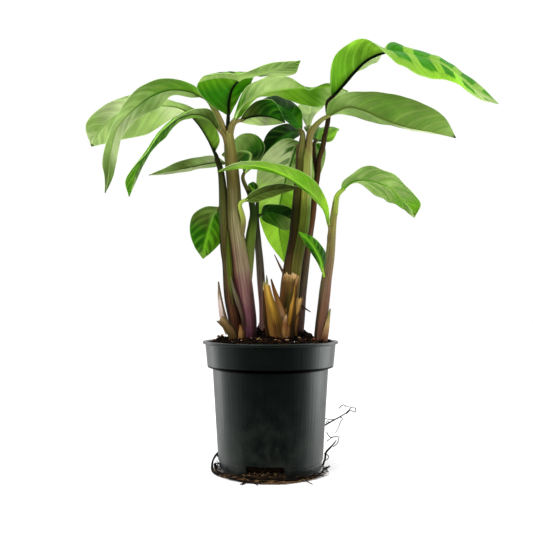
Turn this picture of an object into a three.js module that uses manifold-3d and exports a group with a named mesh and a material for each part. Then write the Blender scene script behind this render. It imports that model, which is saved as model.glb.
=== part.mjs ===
// A zebra plant (Calathea zebrina) in its black nursery pot.
//
// Millimetres, +Z up. The origin is the centre of the pot's underside, where the pot stands,
// and the plant's front looks along -Y. Every stem, petiole and blade is a solid of its own
// real thickness. A leaf blade is lofted over three curves: its midrib and its two margins.

import * as THREE from "three";
import { mergeVertices } from "three/addons/utils/BufferGeometryUtils.js";
import Module from "manifold-3d";

const wasm = await Module();
wasm.setup();

// ---------------------------------------------------------------- driving dimensions

const CLEARANCE = 0.35; // between pieces that touch

const POT_HEIGHT = 134;
const POT_WALL = 1.6;
const RIM_RADIUS = 71;
const RIM_THICKNESS = 2.4;
const COLLAR_TOP_RADIUS = 68.3;
const COLLAR_BOTTOM_RADIUS = 66;
const COLLAR_BOTTOM = 107; // height of the collar's lower edge
const BODY_TOP_RADIUS = 60.8;
const BODY_BOTTOM_RADIUS = 55;
const FOOT_HEIGHT = 10; // the slightly smaller band at the bottom
const FOOT_RADIUS = 54;
const FOOT_RING_INSIDE = 47.5;
const CHANNEL_INSIDE = 19; // the raised channel under the pot lies between foot ring and centre pad
const CHANNEL_HEIGHT = 5;
const CENTRE_PAD_RADIUS = 16;
const NOTCH_WIDTH = 38;
const NOTCH_HEIGHT = 14.5;
const NOTCH_DEPTH = 6;
const NOTCH_COUNT = 3;
const NOTCH_TURN = -6; // degrees from the front
const DRAIN_RADIUS = 4;
const DRAIN_CIRCLE = 32;
const DRAIN_COUNT = 6;
const DRAIN_SIDES = 8;
const POT_SEGMENTS = 36;

const SOIL_EDGE_HEIGHT = 131.5;
const SOIL_CROWN = 7; // how much higher the soil stands at the centre
const SOIL_RADIUS = 65.6;
const SOIL_GAP = 0.5; // between the soil and the pot's wall
const CHIP_COUNT = 24;

const BLADE_THICKNESS = 0.8;
const BLADE_NECK = 1.7; // half the blade's width where it leaves its petiole
const BLADE_TIP = 0.5;
const BLADE_CAMBER = 0.1; // rise of each half between midrib and margin, per unit of width
const RIB_DEPTH = 1.3; // how far the midrib stands out below the blade
const BLADE_COLUMNS = [-1, -0.5, -0.1, 0.1, 0.5, 1];
const PETIOLE_SIDES = 6;
const STEM_SIDES = 8;

// ---------------------------------------------------------------- materials

function finish(color, roughness = 0.6) {
  return new THREE.MeshStandardMaterial({ color, roughness, metalness: 0 });
}

const blackPlastic = finish(0x1c1f1f, 0.45);
const pottingSoil = finish(0x2b1d14, 0.95);
const rootBrown = finish(0x4a3220, 0.9);
const leafUnder = finish(0x8fa872, 0.6);
const leafUpper = finish(0x4c9a2a, 0.5);
const leafBright = finish(0x7cc142, 0.5);
const leafDark = finish(0x2c5a1c, 0.55);
const stemOlive = finish(0x6d6a3e, 0.55);
const stemDark = finish(0x3a2a22, 0.5);
const drySheath = finish(0xb08a4e, 0.85);

// ---------------------------------------------------------------- solids

const vector = ([x, y, z]) => new THREE.Vector3(x, y, z);

function solidOf(geometry) {
  const bare = geometry.index ? geometry.clone() : geometry;
  bare.deleteAttribute("normal");
  bare.deleteAttribute("uv");
  const merged = mergeVertices(bare, 1e-4);
  return new wasm.Manifold(new wasm.Mesh({
    numProp: 3,
    vertProperties: new Float32Array(merged.attributes.position.array),
    triVerts: new Uint32Array(merged.index.array),
  }));
}

function geometryOf(solid) {
  const mesh = solid.getMesh();
  const geometry = new THREE.BufferGeometry();
  geometry.setAttribute("position", new THREE.BufferAttribute(mesh.vertProperties, 3));
  geometry.setIndex(new THREE.BufferAttribute(mesh.triVerts, 1));
  geometry.computeVertexNormals();
  return geometry;
}

function fuse(geometries) {
  const solids = geometries.map(solidOf);
  return solids.reduce((sum, next) => sum.add(next));
}

function indexedGeometry(points, triangles) {
  const geometry = new THREE.BufferGeometry();
  geometry.setAttribute("position", new THREE.Float32BufferAttribute(points.flatMap((p) => p.toArray()), 3));
  geometry.setIndex(triangles);
  return geometry;
}

// A seeded random draw between 0 and 1, the same on every run.
function seededRandom(seed) {
  let state = seed;
  return () => {
    state = (state * 1664525 + 1013904223) % 4294967296;
    return state / 4294967296;
  };
}

function valueAlong(values, t) {
  const place = Math.min(t, 1) * (values.length - 1);
  const index = Math.min(Math.floor(place), values.length - 2);
  return THREE.MathUtils.lerp(values[index], values[index + 1], place - index);
}

// A closed tube along a smooth path. The radii are spread evenly along its length.
function taperedTube(path, radii, sides = STEM_SIDES, stepLength = 16) {
  const curve = new THREE.CatmullRomCurve3(path);
  const steps = Math.max(3, Math.round(curve.getLength() / stepLength));
  const frames = curve.computeFrenetFrames(steps, false);
  const points = [];
  for (let step = 0; step <= steps; step++) {
    const centre = curve.getPointAt(step / steps);
    const radius = valueAlong(radii, step / steps);
    for (let side = 0; side < sides; side++) {
      const angle = (2 * Math.PI * side) / sides;
      points.push(centre.clone()
        .addScaledVector(frames.normals[step], radius * Math.cos(angle))
        .addScaledVector(frames.binormals[step], radius * Math.sin(angle)));
    }
  }
  const triangles = [];
  for (let step = 0; step < steps; step++) {
    for (let side = 0; side < sides; side++) {
      const next = (side + 1) % sides;
      const a = step * sides + side;
      const b = step * sides + next;
      triangles.push(a, b, b + sides, a, b + sides, a + sides);
    }
  }
  const start = points.push(curve.getPointAt(0)) - 1;
  const end = points.push(curve.getPointAt(1)) - 1;
  for (let side = 0; side < sides; side++) {
    const next = (side + 1) % sides;
    triangles.push(start, next, side, end, steps * sides + side, steps * sides + next);
  }
  return indexedGeometry(points, triangles);
}

// ---------------------------------------------------------------- leaf blades

// Each blade's midrib runs from its petiole to its tip. The left and right margins are given at
// the same stations as the midrib's inner points, as seen with the blade's upper face up and
// its tip ahead.
const blades = {
  leaf_a_left_front: {
    rib: [[-72, -3, 390], [-84, -8, 394], [-104, -13, 394], [-123, -18, 385], [-142, -21, 369],
      [-155, -23, 353], [-162, -24, 329], [-165, -24, 300], [-168, -24, 285]],
    left: [[-78, -18, 396], [-103, -36, 397], [-127, -43, 387], [-146, -46, 364],
      [-157, -45, 342], [-166, -40, 315], [-166, -32, 296]],
    right: [[-83, 6, 392], [-106, 14, 397], [-120, 10, 382], [-141, 2, 368],
      [-156, -4, 345], [-160, -8, 322], [-163, -16, 300]],
    finish: leafUnder,
  },
  leaf_a_left_back: {
    rib: [[-60, 10, 335], [-67, 14, 350], [-79, 20, 369], [-97, 28, 387], [-122, 34, 393],
      [-150, 39, 393], [-175, 42, 383], [-192, 40, 365], [-199, 36, 348]],
    left: [[-54, 6, 346], [-63, 10, 368], [-87, 16, 386], [-115, 20, 395],
      [-146, 22, 401], [-179, 22, 390], [-202, 25, 369]],
    right: [[-66, 20, 350], [-78, 32, 370], [-98, 46, 388], [-120, 56, 380],
      [-142, 62, 369], [-169, 62, 363], [-185, 52, 356]],
    finish: leafUnder,
  },
  leaf_a_left_narrow: {
    rib: [[-52, -12, 351], [-63, -18, 363], [-76, -26, 365], [-92, -36, 357], [-106, -46, 340],
      [-118, -56, 319], [-128, -64, 297], [-133, -70, 273]],
    left: [[-59, -28, 367], [-72, -42, 365], [-87, -54, 354], [-103, -66, 336],
      [-115, -76, 313], [-134, -80, 287]],
    right: [[-62, -2, 363], [-77, -2, 368], [-93, -8, 363], [-107, -22, 342],
      [-118, -38, 324], [-127, -50, 300]],
    finish: leafUpper,
  },
  leaf_a_low_back: {
    rib: [[-49, 26, 327], [-63, 34, 330], [-79, 38, 328], [-97, 42, 325], [-115, 44, 322],
      [-137, 45, 318]],
    left: [[-59, 20, 333], [-77, 22, 333], [-96, 25, 330], [-117, 32, 323]],
    right: [[-64, 50, 328], [-81, 58, 328], [-99, 60, 325], [-120, 56, 321]],
    finish: leafUnder,
  },
  leaf_a_top: {
    rib: [[-44, -5, 370], [-43, -9, 383], [-39, -16, 394], [-28, -30, 399], [-12, -40, 399],
      [8, -48, 402], [29, -52, 408]],
    left: [[-37, -4, 380], [-29, -8, 393], [-17, -16, 404], [-5, -26, 402], [23, -38, 400]],
    right: [[-61, -12, 378], [-75, -22, 392], [-65, -34, 401], [-36, -46, 398], [9, -56, 405]],
    finish: leafUpper,
  },
  leaf_a_right_over: {
    rib: [[-39, -9, 362], [-32, -7, 376], [-21, -4, 387], [-3, 0, 396], [21, 5, 401],
      [44, 11, 404], [66, 15, 407], [84, 18, 403]],
    left: [[-28, 2, 374], [-17, 10, 390], [2, 18, 399], [24, 25, 394], [49, 30, 390],
      [70, 27, 395]],
    right: [[-35, -14, 375], [-26, -18, 393], [-5, -16, 405], [20, -12, 407], [39, -4, 397],
      [61, 4, 407]],
    finish: leafBright,
  },
  leaf_a_right_under: {
    rib: [[-32, -5, 364], [-23, -1, 369], [-11, 4, 372], [2, 9, 372], [16, 14, 368]],
    left: [[-23, 10, 365], [-11, 18, 366], [2, 21, 367]],
    right: [[-25, -14, 373], [-13, -17, 381], [3, -8, 384]],
    finish: leafUnder,
  },
  leaf_a_middle: {
    rib: [[-26, -20, 278], [-18, -24, 282], [-7, -26, 286], [7, -27, 289], [18, -26, 290],
      [28, -25, 291]],
    left: [[-18, -14, 277], [-6, -15, 280], [8, -16, 285], [21, -20, 288]],
    right: [[-18, -32, 285], [-6, -38, 289], [8, -37, 292], [20, -30, 292]],
    finish: leafDark,
  },
  leaf_a_inner: {
    rib: [[-28, 16, 314], [-24, 21, 326], [-22, 26, 337], [-29, 30, 341], [-40, 32, 341],
      [-54, 34, 338]],
    left: [[-17, 24, 324], [-6, 34, 347], [-16, 36, 361], [-32, 34, 361]],
    right: [[-31, 17, 323], [-32, 20, 328], [-35, 24, 326], [-44, 28, 328]],
    finish: leafDark,
  },
  leaf_a_low_round: {
    rib: [[-55, 12, 276], [-61, 11, 269], [-65, 10, 258], [-68, 9, 246], [-71, 9, 234],
      [-72, 8, 221]],
    left: [[-51, 14, 266], [-49, 13, 253], [-52, 12, 241], [-63, 10, 228]],
    right: [[-70, 12, 277], [-83, 10, 268], [-86, 7, 251], [-81, 6, 234]],
    finish: leafUpper,
  },
  leaf_b_left: {
    rib: [[32, -2, 354], [28, 8, 365], [21, 20, 379], [9, 30, 391], [-3, 38, 399],
      [-21, 44, 396]],
    left: [[24, 12, 363], [13, 26, 376], [2, 36, 387], [-10, 42, 392]],
    right: [[34, 6, 368], [33, 18, 382], [22, 34, 398], [4, 42, 407]],
    finish: leafUpper,
  },
  leaf_b_back_high: {
    rib: [[41, 14, 362], [42, 26, 375], [44, 42, 389], [47, 66, 407]],
    left: [[36, 26, 374], [30, 42, 394]],
    right: [[48, 28, 379], [60, 46, 397]],
    finish: leafUnder,
  },
  leaf_b_right_top: {
    rib: [[63, -17, 384], [71, -19, 392], [83, -23, 405], [96, -27, 417], [109, -30, 423],
      [122, -33, 425], [137, -36, 422], [152, -38, 417], [168, -38, 412], [184, -38, 401],
      [204, -38, 384], [226, -38, 371]],
    left: [[79, -8, 401], [91, -6, 415], [104, -8, 421], [112, -13, 425], [121, -19, 439],
      [136, -22, 435], [155, -24, 428], [171, -26, 422], [187, -28, 411], [208, -32, 393]],
    right: [[60, -30, 398], [62, -42, 415], [77, -50, 426], [92, -53, 429], [116, -55, 409],
      [130, -55, 401], [146, -53, 392], [163, -50, 391], [181, -46, 389], [204, -42, 375]],
    finish: leafBright,
  },
  leaf_b_right_middle: {
    rib: [[57, -25, 362], [66, -30, 366], [78, -32, 370], [94, -33, 366], [114, -33, 357],
      [138, -30, 350], [164, -27, 346], [188, -24, 341]],
    left: [[70, -18, 367], [85, -8, 368], [104, -3, 364], [125, -2, 360], [147, -6, 354],
      [171, -16, 347]],
    right: [[58, -42, 371], [72, -52, 377], [94, -58, 376], [117, -60, 373], [144, -55, 367],
      [171, -42, 357]],
    finish: leafUnder,
  },
  leaf_b_back_low: {
    rib: [[48, 7, 346], [52, 17, 354], [55, 31, 365], [57, 48, 372], [60, 64, 373],
      [62, 78, 370]],
    left: [[42, 15, 354], [37, 29, 366], [39, 46, 372], [48, 62, 373]],
    right: [[66, 18, 349], [75, 33, 366], [77, 48, 369], [70, 62, 367]],
    finish: leafUpper,
  },
  leaf_b_hanging: {
    rib: [[40, 14, 343], [31, 30, 349], [22, 36, 327], [14, 38, 300], [9, 38, 273],
      [11, 36, 244], [16, 34, 218]],
    left: [[15, 27, 354], [-11, 34, 332], [-16, 40, 307], [-14, 44, 276], [-4, 44, 246]],
    right: [[59, 31, 349], [61, 34, 336], [53, 36, 311], [38, 38, 280], [26, 38, 246]],
    finish: leafBright,
  },
  leaf_b_back_arch: {
    rib: [[32, 10, 356], [23, 34, 363], [9, 50, 359], [-4, 56, 347], [-17, 60, 332]],
    left: [[31, 28, 357], [17, 48, 352], [4, 54, 337]],
    right: [[17, 38, 374], [-2, 52, 369], [-11, 58, 351]],
    finish: leafDark,
  },
  leaf_c_left_arch: {
    rib: [[60, -12, 255], [56, -20, 266], [46, -32, 279], [32, -44, 288], [14, -54, 297],
      [-8, -62, 303], [-29, -68, 303], [-50, -72, 296]],
    left: [[58, -30, 271], [48, -46, 287], [33, -60, 297], [13, -72, 302], [-10, -80, 304],
      [-30, -80, 303]],
    right: [[56, -12, 267], [46, -20, 277], [32, -30, 288], [15, -40, 297], [-8, -50, 302],
      [-27, -58, 302]],
    finish: leafBright,
  },
  leaf_c_right: {
    rib: [[74, -8, 290], [80, -10, 296], [87, -13, 300], [96, -16, 300], [109, -19, 297],
      [123, -22, 290], [133, -24, 279], [142, -24, 269], [146, -24, 260]],
    left: [[83, -7, 296], [91, -4, 299], [103, 0, 293], [117, 4, 285], [127, 2, 280],
      [136, -4, 273], [142, -12, 267]],
    right: [[74, -15, 298], [82, -23, 303], [92, -34, 309], [108, -43, 307], [124, -48, 295],
      [139, -46, 281], [149, -38, 272]],
    finish: leafUpper,
  },
  leaf_c_low_left: {
    rib: [[54, -14, 206], [51, -20, 217], [44, -27, 229], [36, -33, 238], [28, -38, 244]],
    left: [[48, -20, 214], [39, -27, 227], [32, -34, 237]],
    right: [[57, -16, 223], [51, -24, 233], [42, -31, 240]],
    finish: leafUpper,
  },
  leaf_d_right: {
    rib: [[-10, 12, 268], [-4, 15, 272], [6, 18, 272], [18, 21, 268], [33, 24, 260]],
    left: [[-8, 24, 264], [3, 29, 259], [17, 30, 254]],
    right: [[-7, 9, 278], [8, 10, 279], [22, 15, 276]],
    finish: leafDark,
  },
  leaf_d_young: {
    rib: [[-16, 17, 288], [-18, 19, 295], [-21, 20, 299], [-24, 20, 303]],
    left: [[-14, 22, 302], [-19, 23, 306]],
    right: [[-21, 16, 294], [-24, 17, 298]],
    finish: leafDark,
  },
};

// The direction in which a blade leaves its petiole.
function growthDirection({ rib }) {
  return vector(rib[1]).sub(vector(rib[0])).normalize();
}

// The last two points of a petiole, in line with the blade it carries and just clear of it.
function petioleEnd(name) {
  const blade = blades[name];
  const base = vector(blade.rib[0]);
  const direction = growthDirection(blade);
  return [
    base.clone().addScaledVector(direction, -6),
    base.clone().addScaledVector(direction, -CLEARANCE),
  ];
}

// A margin's curve, from the blade's neck to its tip.
function marginCurve(rib, margin) {
  const base = vector(rib[0]);
  const tip = vector(rib.at(-1));
  const forward = vector(rib[1]).sub(base).normalize();
  const backward = vector(rib.at(-2)).sub(tip).normalize();
  const atNeck = vector(margin[0]).sub(vector(rib[1]));
  atNeck.addScaledVector(forward, -atNeck.dot(forward)).setLength(BLADE_NECK);
  const atTip = vector(margin.at(-1)).sub(vector(rib.at(-2)));
  atTip.addScaledVector(backward, -atTip.dot(backward)).setLength(BLADE_TIP);
  return new THREE.CatmullRomCurve3([base.add(atNeck), ...margin.map(vector), tip.add(atTip)]);
}

function bladeGeometry({ rib, left, right }, stepsPerStation = 2, waveHeight = 0.8) {
  const ribCurve = new THREE.CatmullRomCurve3(rib.map(vector));
  const leftCurve = marginCurve(rib, left);
  const rightCurve = marginCurve(rib, right);
  const steps = (rib.length - 1) * stepsPerStation;
  const columns = BLADE_COLUMNS.length;
  const upper = [];
  const lower = [];
  for (let step = 0; step <= steps; step++) {
    const t = step / steps;
    const middle = ribCurve.getPoint(t);
    const tangent = ribCurve.getTangent(t);
    const toLeft = leftCurve.getPoint(t).sub(middle);
    const toRight = rightCurve.getPoint(t).sub(middle);
    const leftNormal = tangent.clone().cross(toLeft).normalize();
    const rightNormal = toRight.clone().cross(tangent).normalize();
    const swell = Math.sin(Math.PI * t);
    for (const column of BLADE_COLUMNS) {
      const reach = Math.abs(column);
      const span = column < 0 ? toLeft : toRight;
      const normal = leftNormal.clone().lerp(rightNormal, (column + 1) / 2).normalize();
      const crown = BLADE_CAMBER * span.length() * 4 * reach * (1 - reach) * swell;
      const wave = waveHeight * Math.sin(Math.PI * step + column) * reach ** 3 * swell;
      const point = middle.clone().addScaledVector(span, reach).addScaledVector(normal, crown + wave);
      const ridge = reach < 0.2 ? RIB_DEPTH * (1 - t) : 0;
      upper.push(point.clone().addScaledVector(normal, BLADE_THICKNESS / 2));
      lower.push(point.clone().addScaledVector(normal, -BLADE_THICKNESS / 2 - ridge));
    }
  }
  const under = upper.length;
  const triangles = [];
  for (let step = 0; step < steps; step++) {
    for (let column = 0; column < columns - 1; column++) {
      const a = step * columns + column;
      const b = a + 1;
      const c = a + columns;
      const d = c + 1;
      triangles.push(a, b, d, a, d, c);
      triangles.push(under + a, under + d, under + b, under + a, under + c, under + d);
    }
  }
  const leftEdge = [...Array(steps + 1).keys()].map((step) => step * columns);
  const tipEdge = [...Array(columns).keys()].map((column) => steps * columns + column);
  const rightEdge = leftEdge.map((corner) => corner + columns - 1).reverse();
  const neckEdge = [...Array(columns).keys()].reverse();
  for (const edge of [leftEdge, tipEdge, rightEdge, neckEdge]) {
    for (let index = 0; index < edge.length - 1; index++) {
      const a = edge[index];
      const b = edge[index + 1];
      triangles.push(a, b, under + b, a, under + b, under + a);
    }
  }
  return indexedGeometry([...upper, ...lower], triangles);
}

// ---------------------------------------------------------------- stems and petioles

function petiole(path, bladeName, radii) {
  return taperedTube([...path.map(vector), ...petioleEnd(bladeName)], radii, PETIOLE_SIDES, 11);
}

function stem(path, radii) {
  return taperedTube(path.map(vector), radii);
}

// The torn edges and tips of old leaf sheaths that still clasp the stems.
function driedStrip(path, radii) {
  return taperedTube(path.map(vector), radii, PETIOLE_SIDES, 10);
}

// Where each stem or stub stands in the soil, and its radius there.
const roots = {
  a_left: { path: [[-33, 0, 122], [-35, -1, 139], [-37, -2, 156]], radius: 7.5 },
  a_middle: { path: [[-21, -5, 122], [-22, -5, 137], [-22, -6, 153]], radius: 7.8 },
  b_middle: { path: [[17, -3, 122], [17, -3, 139], [18, -3, 158]], radius: 8.8 },
  b_right: { path: [[31, 15, 122], [32, 15, 138], [33, 15, 155]], radius: 3.4 },
  c_right: { path: [[51, -5, 122], [51, -5, 137], [54, -5, 161]], radius: 6.1 },
  d_back: { path: [[-8, 16, 122], [-8, 16, 138], [-8, 15, 170]], radius: 4.4 },
  stub_front: { path: [[12, -21, 126], [11, -21, 140], [6, -21, 161]], radius: 7.8 },
  stub_left: { path: [[-38, -14, 127], [-40, -14, 139], [-46, -14, 148]], radius: 4.4 },
};

function stemClusterA() {
  const left = stem([...roots.a_left.path, [-42, -2, 180], [-45, -2, 217], [-47, -2, 231],
    [-50, -1, 292], [-53, 4, 315], [-57, 7, 327]], [7.5, 7.6, 6.6, 5.9, 5.6, 5.4, 4, 2.6]);
  const middle = stem([...roots.a_middle.path, [-26, -6, 180], [-31, -6, 216], [-35, -6, 245],
    [-37, -6, 265], [-38, -6, 292], [-41, -6, 323], [-44, -6, 352]],
  [6.5, 7.8, 9.1, 9.5, 8.2, 7.4, 7, 6.7, 5]);
  const right = stem([[-25, -4, 196], [-21, -2, 240], [-19, 0, 256], [-18, 4, 268], [-20, 5, 280],
    [-23, 7, 293]], [5.6, 5.8, 5.2, 3.8, 2.6]);
  return fuse([
    left, middle, right,
    petiole([[-57, 7, 325]], "leaf_a_left_back", [2.8, 2.2, 1.7]),
    petiole([[-44, -6, 340], [-54, -5, 367]], "leaf_a_left_front", [3.6, 3.6, 3.2, 1.9]),
    petiole([[-45, -7, 338]], "leaf_a_left_narrow", [3.2, 2.2, 1.8]),
    petiole([[-42, 0, 308], [-42, 14, 320]], "leaf_a_low_back", [2.6, 2, 1.7]),
    petiole([[-44, -6, 345]], "leaf_a_top", [3.4, 2.4, 1.9]),
    petiole([[-43, -7, 343]], "leaf_a_right_over", [3.2, 2.4, 1.9]),
    petiole([[-43, -5, 345]], "leaf_a_right_under", [3.2, 2.2, 1.7]),
    petiole([[-32, -8, 238], [-28, -12, 258]], "leaf_a_middle", [4, 3, 2.4, 1.8]),
    petiole([[-23, 7, 291]], "leaf_a_inner", [2.5, 2.2, 1.8]),
    petiole([[-48, -2, 262], [-50, 7, 276]], "leaf_a_low_round", [2.4, 1.9, 1.6]),
    driedStrip([[-41, -3, 148], [-50, -7, 167], [-54, -8, 195]], [2.2, 1.7, 0.6]),
    driedStrip([[-41, -8, 190], [-43, -8, 222], [-45, -6, 248]], [2.4, 2.2, 0.8]),
    driedStrip([[-36, -9, 165], [-40, -10, 185], [-41, -9, 201]], [3, 2.6, 0.8]),
  ]);
}

function stemClusterB() {
  const trunk = stem([...roots.b_middle.path, [19, -3, 177], [22, -3, 208], [25, -3, 222]],
    [7.4, 8.4, 9.6, 9.9, 9.4, 8.6]);
  const left = stem([[22, -3, 212], [24, -4, 232], [25, -4, 257], [28, -4, 292], [30, -4, 323],
    [30, -4, 339]], [4.5, 4.4, 3.8, 3.7, 3.7, 3.4]);
  const right = stem([[27, -3, 212], [30, -4, 234], [34, -4, 257], [37, -4, 292], [39, -4, 323],
    [40, -4, 338]], [5.6, 5.8, 5.3, 4.8, 4.7, 4]);
  return fuse([
    trunk, left, right,
    petiole([[31, -4, 333]], "leaf_b_left", [3.6, 3.4, 2.2]),
    petiole([[40, -4, 333], [40, -7, 345], [44, -12, 353]], "leaf_b_right_middle", [3.6, 3.6, 3, 2.1]),
    petiole([[38, -3, 328], [39, 4, 345]], "leaf_b_back_high", [2.6, 2, 1.6]),
    petiole([[40, -3, 318], [39, 5, 333]], "leaf_b_hanging", [2.6, 2.2, 1.8]),
    petiole([[30, -3, 330]], "leaf_b_back_arch", [2.6, 2, 1.6]),
    driedStrip([[19, -4, 197], [13, -6, 206], [4, -9, 224]], [3, 1.8, 0.5]),
    driedStrip([[21, -6, 150], [27, -8, 162], [30, -7, 179]], [2.6, 2.2, 0.8]),
  ]);
}

function stemClusterBRight() {
  const main = stem([...roots.b_right.path, [34, 13, 180], [37, 11, 209], [41, 9, 241],
    [45, 6, 269], [47, 4, 291], [50, 3, 312], [51, 2, 325], [55, -1, 338], [57, -4, 350]],
  [2.8, 3.2, 3.6, 3.7, 3.6, 3.5, 3.3, 3, 2.8, 2.5, 2.6]);
  return fuse([
    main,
    petiole([[57, -4, 348], [60, -10, 366]], "leaf_b_right_top", [2.6, 2.6, 2.4, 2]),
    petiole([[47, 5, 294], [49, 6, 310], [47, 7, 326]], "leaf_b_back_low", [2.4, 2.3, 2, 1.7]),
  ]);
}

function stemClusterC() {
  const main = stem([...roots.c_right.path, [58, -5, 196], [62, -5, 222], [65, -5, 257],
    [68, -6, 279]], [5.2, 6.2, 6, 5, 4.2, 3.2]);
  return fuse([
    main,
    petiole([[66, -6, 270]], "leaf_c_right", [3.6, 3, 1.9]),
    petiole([[64, -5, 236]], "leaf_c_left_arch", [3, 2.2, 1.8]),
    petiole([[59, -5, 192]], "leaf_c_low_left", [3, 2.2, 1.7]),
    driedStrip([[54, -6, 140], [60, -7, 155], [62, -7, 168]], [2.2, 1.8, 0.5]),
  ]);
}

function stemClusterD() {
  const main = stem([...roots.d_back.path, [-10, 14, 195], [-12, 14, 223], [-13, 13, 233],
    [-15, 12, 261], [-15, 13, 272]], [4.3, 4.4, 4.4, 4.2, 3.6, 2.6]);
  return fuse([
    main,
    petiole([[-14, 12, 253]], "leaf_d_right", [2.6, 2, 1.6]),
    petiole([[-15, 12, 268]], "leaf_d_young", [2.4, 1.9, 1.4]),
  ]);
}

// The dry stumps of stems that were cut off.
function stubFront() {
  const top = [[0, -20, 182], [-3, -20, 196]];
  return stem([...roots.stub_front.path, ...top], [7.2, 7.6, 5.8, 3.6]);
}

function stubLeft() {
  return stem([...roots.stub_left.path, [-53, -14, 158]], [4.3, 4.2, 3.2]);
}

// ---------------------------------------------------------------- pot

function turned(profile, segments) {
  const points = profile.map(([radius, height]) => new THREE.Vector2(radius, height));
  return new THREE.LatheGeometry(points, segments).rotateX(Math.PI / 2);
}

function potBody() {
  const floorTop = CHANNEL_HEIGHT + POT_WALL;
  return solidOf(turned([
    // underside, from the centre pad to the foot ring
    [0, 0], [CENTRE_PAD_RADIUS, 0], [CHANNEL_INSIDE, CHANNEL_HEIGHT],
    [FOOT_RING_INSIDE - 2, CHANNEL_HEIGHT], [FOOT_RING_INSIDE, 0],
    // outside, from the foot to the rim
    [FOOT_RADIUS - 1.4, 0], [FOOT_RADIUS - 0.2, 1.6], [FOOT_RADIUS, FOOT_HEIGHT],
    [BODY_BOTTOM_RADIUS, FOOT_HEIGHT + 0.8], [BODY_TOP_RADIUS, COLLAR_BOTTOM + 0.6],
    [COLLAR_BOTTOM_RADIUS - 0.6, COLLAR_BOTTOM], [COLLAR_BOTTOM_RADIUS, COLLAR_BOTTOM + 1],
    [COLLAR_TOP_RADIUS, POT_HEIGHT - RIM_THICKNESS - 0.6],
    [RIM_RADIUS - 0.5, POT_HEIGHT - RIM_THICKNESS], [RIM_RADIUS, POT_HEIGHT - RIM_THICKNESS / 2],
    [RIM_RADIUS - 0.6, POT_HEIGHT],
    // inside, down to the floor
    [COLLAR_TOP_RADIUS - POT_WALL, POT_HEIGHT - 0.4],
    [COLLAR_BOTTOM_RADIUS - POT_WALL, COLLAR_BOTTOM + 2],
    [BODY_TOP_RADIUS - POT_WALL, COLLAR_BOTTOM - 1],
    [BODY_BOTTOM_RADIUS - POT_WALL, FOOT_HEIGHT + 2], [FOOT_RADIUS - POT_WALL - 1.6, floorTop],
    [CHANNEL_INSIDE + 1, floorTop], [CENTRE_PAD_RADIUS - 0.5, POT_WALL], [0, POT_WALL],
  ], POT_SEGMENTS));
}

function potSolid() {
  const cuts = [];
  for (let index = 0; index < NOTCH_COUNT; index++) {
    const notch = new THREE.BoxGeometry(NOTCH_WIDTH, 2 * NOTCH_DEPTH, 2 * NOTCH_HEIGHT);
    notch.translate(0, -FOOT_RADIUS, 0);
    const turn = THREE.MathUtils.degToRad(NOTCH_TURN + (360 * index) / NOTCH_COUNT);
    cuts.push(notch.rotateZ(turn));
  }
  for (let index = 0; index < DRAIN_COUNT; index++) {
    const drain = new THREE.CylinderGeometry(DRAIN_RADIUS, DRAIN_RADIUS, 4 * CHANNEL_HEIGHT, DRAIN_SIDES);
    drain.rotateX(Math.PI / 2).translate(0, -DRAIN_CIRCLE, 0);
    cuts.push(drain.rotateZ((2 * Math.PI * (index + 0.5)) / DRAIN_COUNT));
  }
  return cuts.reduce((solid, cut) => solid.subtract(solidOf(cut)), potBody());
}

// ---------------------------------------------------------------- soil

const SOIL_RINGS = [0.16, 0.34, 0.52, 0.7, 0.86, 1]; // shares of the soil's radius
const soilHeaps = [
  // place, height and reach of the heaps pushed up round the stems
  { x: -54, y: -4, height: 9, reach: 9 },
  { x: -8, y: 24, height: 14, reach: 14 },
  { x: 10, y: -18, height: 3, reach: 11 },
  { x: 37, y: 14, height: 9, reach: 11 },
];

function soilHeight(x, y) {
  const edge = Math.hypot(x, y) / SOIL_RADIUS;
  let height = SOIL_EDGE_HEIGHT + SOIL_CROWN * (1 - edge ** 2);
  for (const heap of soilHeaps) {
    const distance = Math.hypot(x - heap.x, y - heap.y) / heap.reach;
    height += heap.height * Math.exp(-(distance ** 2)) * (1 - edge ** 4);
  }
  return height;
}

// The soil's outline inside the pot, from its floor to just under the rim.
const soilInset = POT_WALL + SOIL_GAP;
const soilOutline = [
  { radius: FOOT_RADIUS - soilInset - 1.6, height: CHANNEL_HEIGHT + POT_WALL + CLEARANCE },
  { radius: BODY_BOTTOM_RADIUS - soilInset, height: FOOT_HEIGHT + 2.5 },
  { radius: BODY_TOP_RADIUS - soilInset, height: COLLAR_BOTTOM - 1.2 },
  { radius: COLLAR_BOTTOM_RADIUS - soilInset, height: COLLAR_BOTTOM + 2.6 },
];

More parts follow.
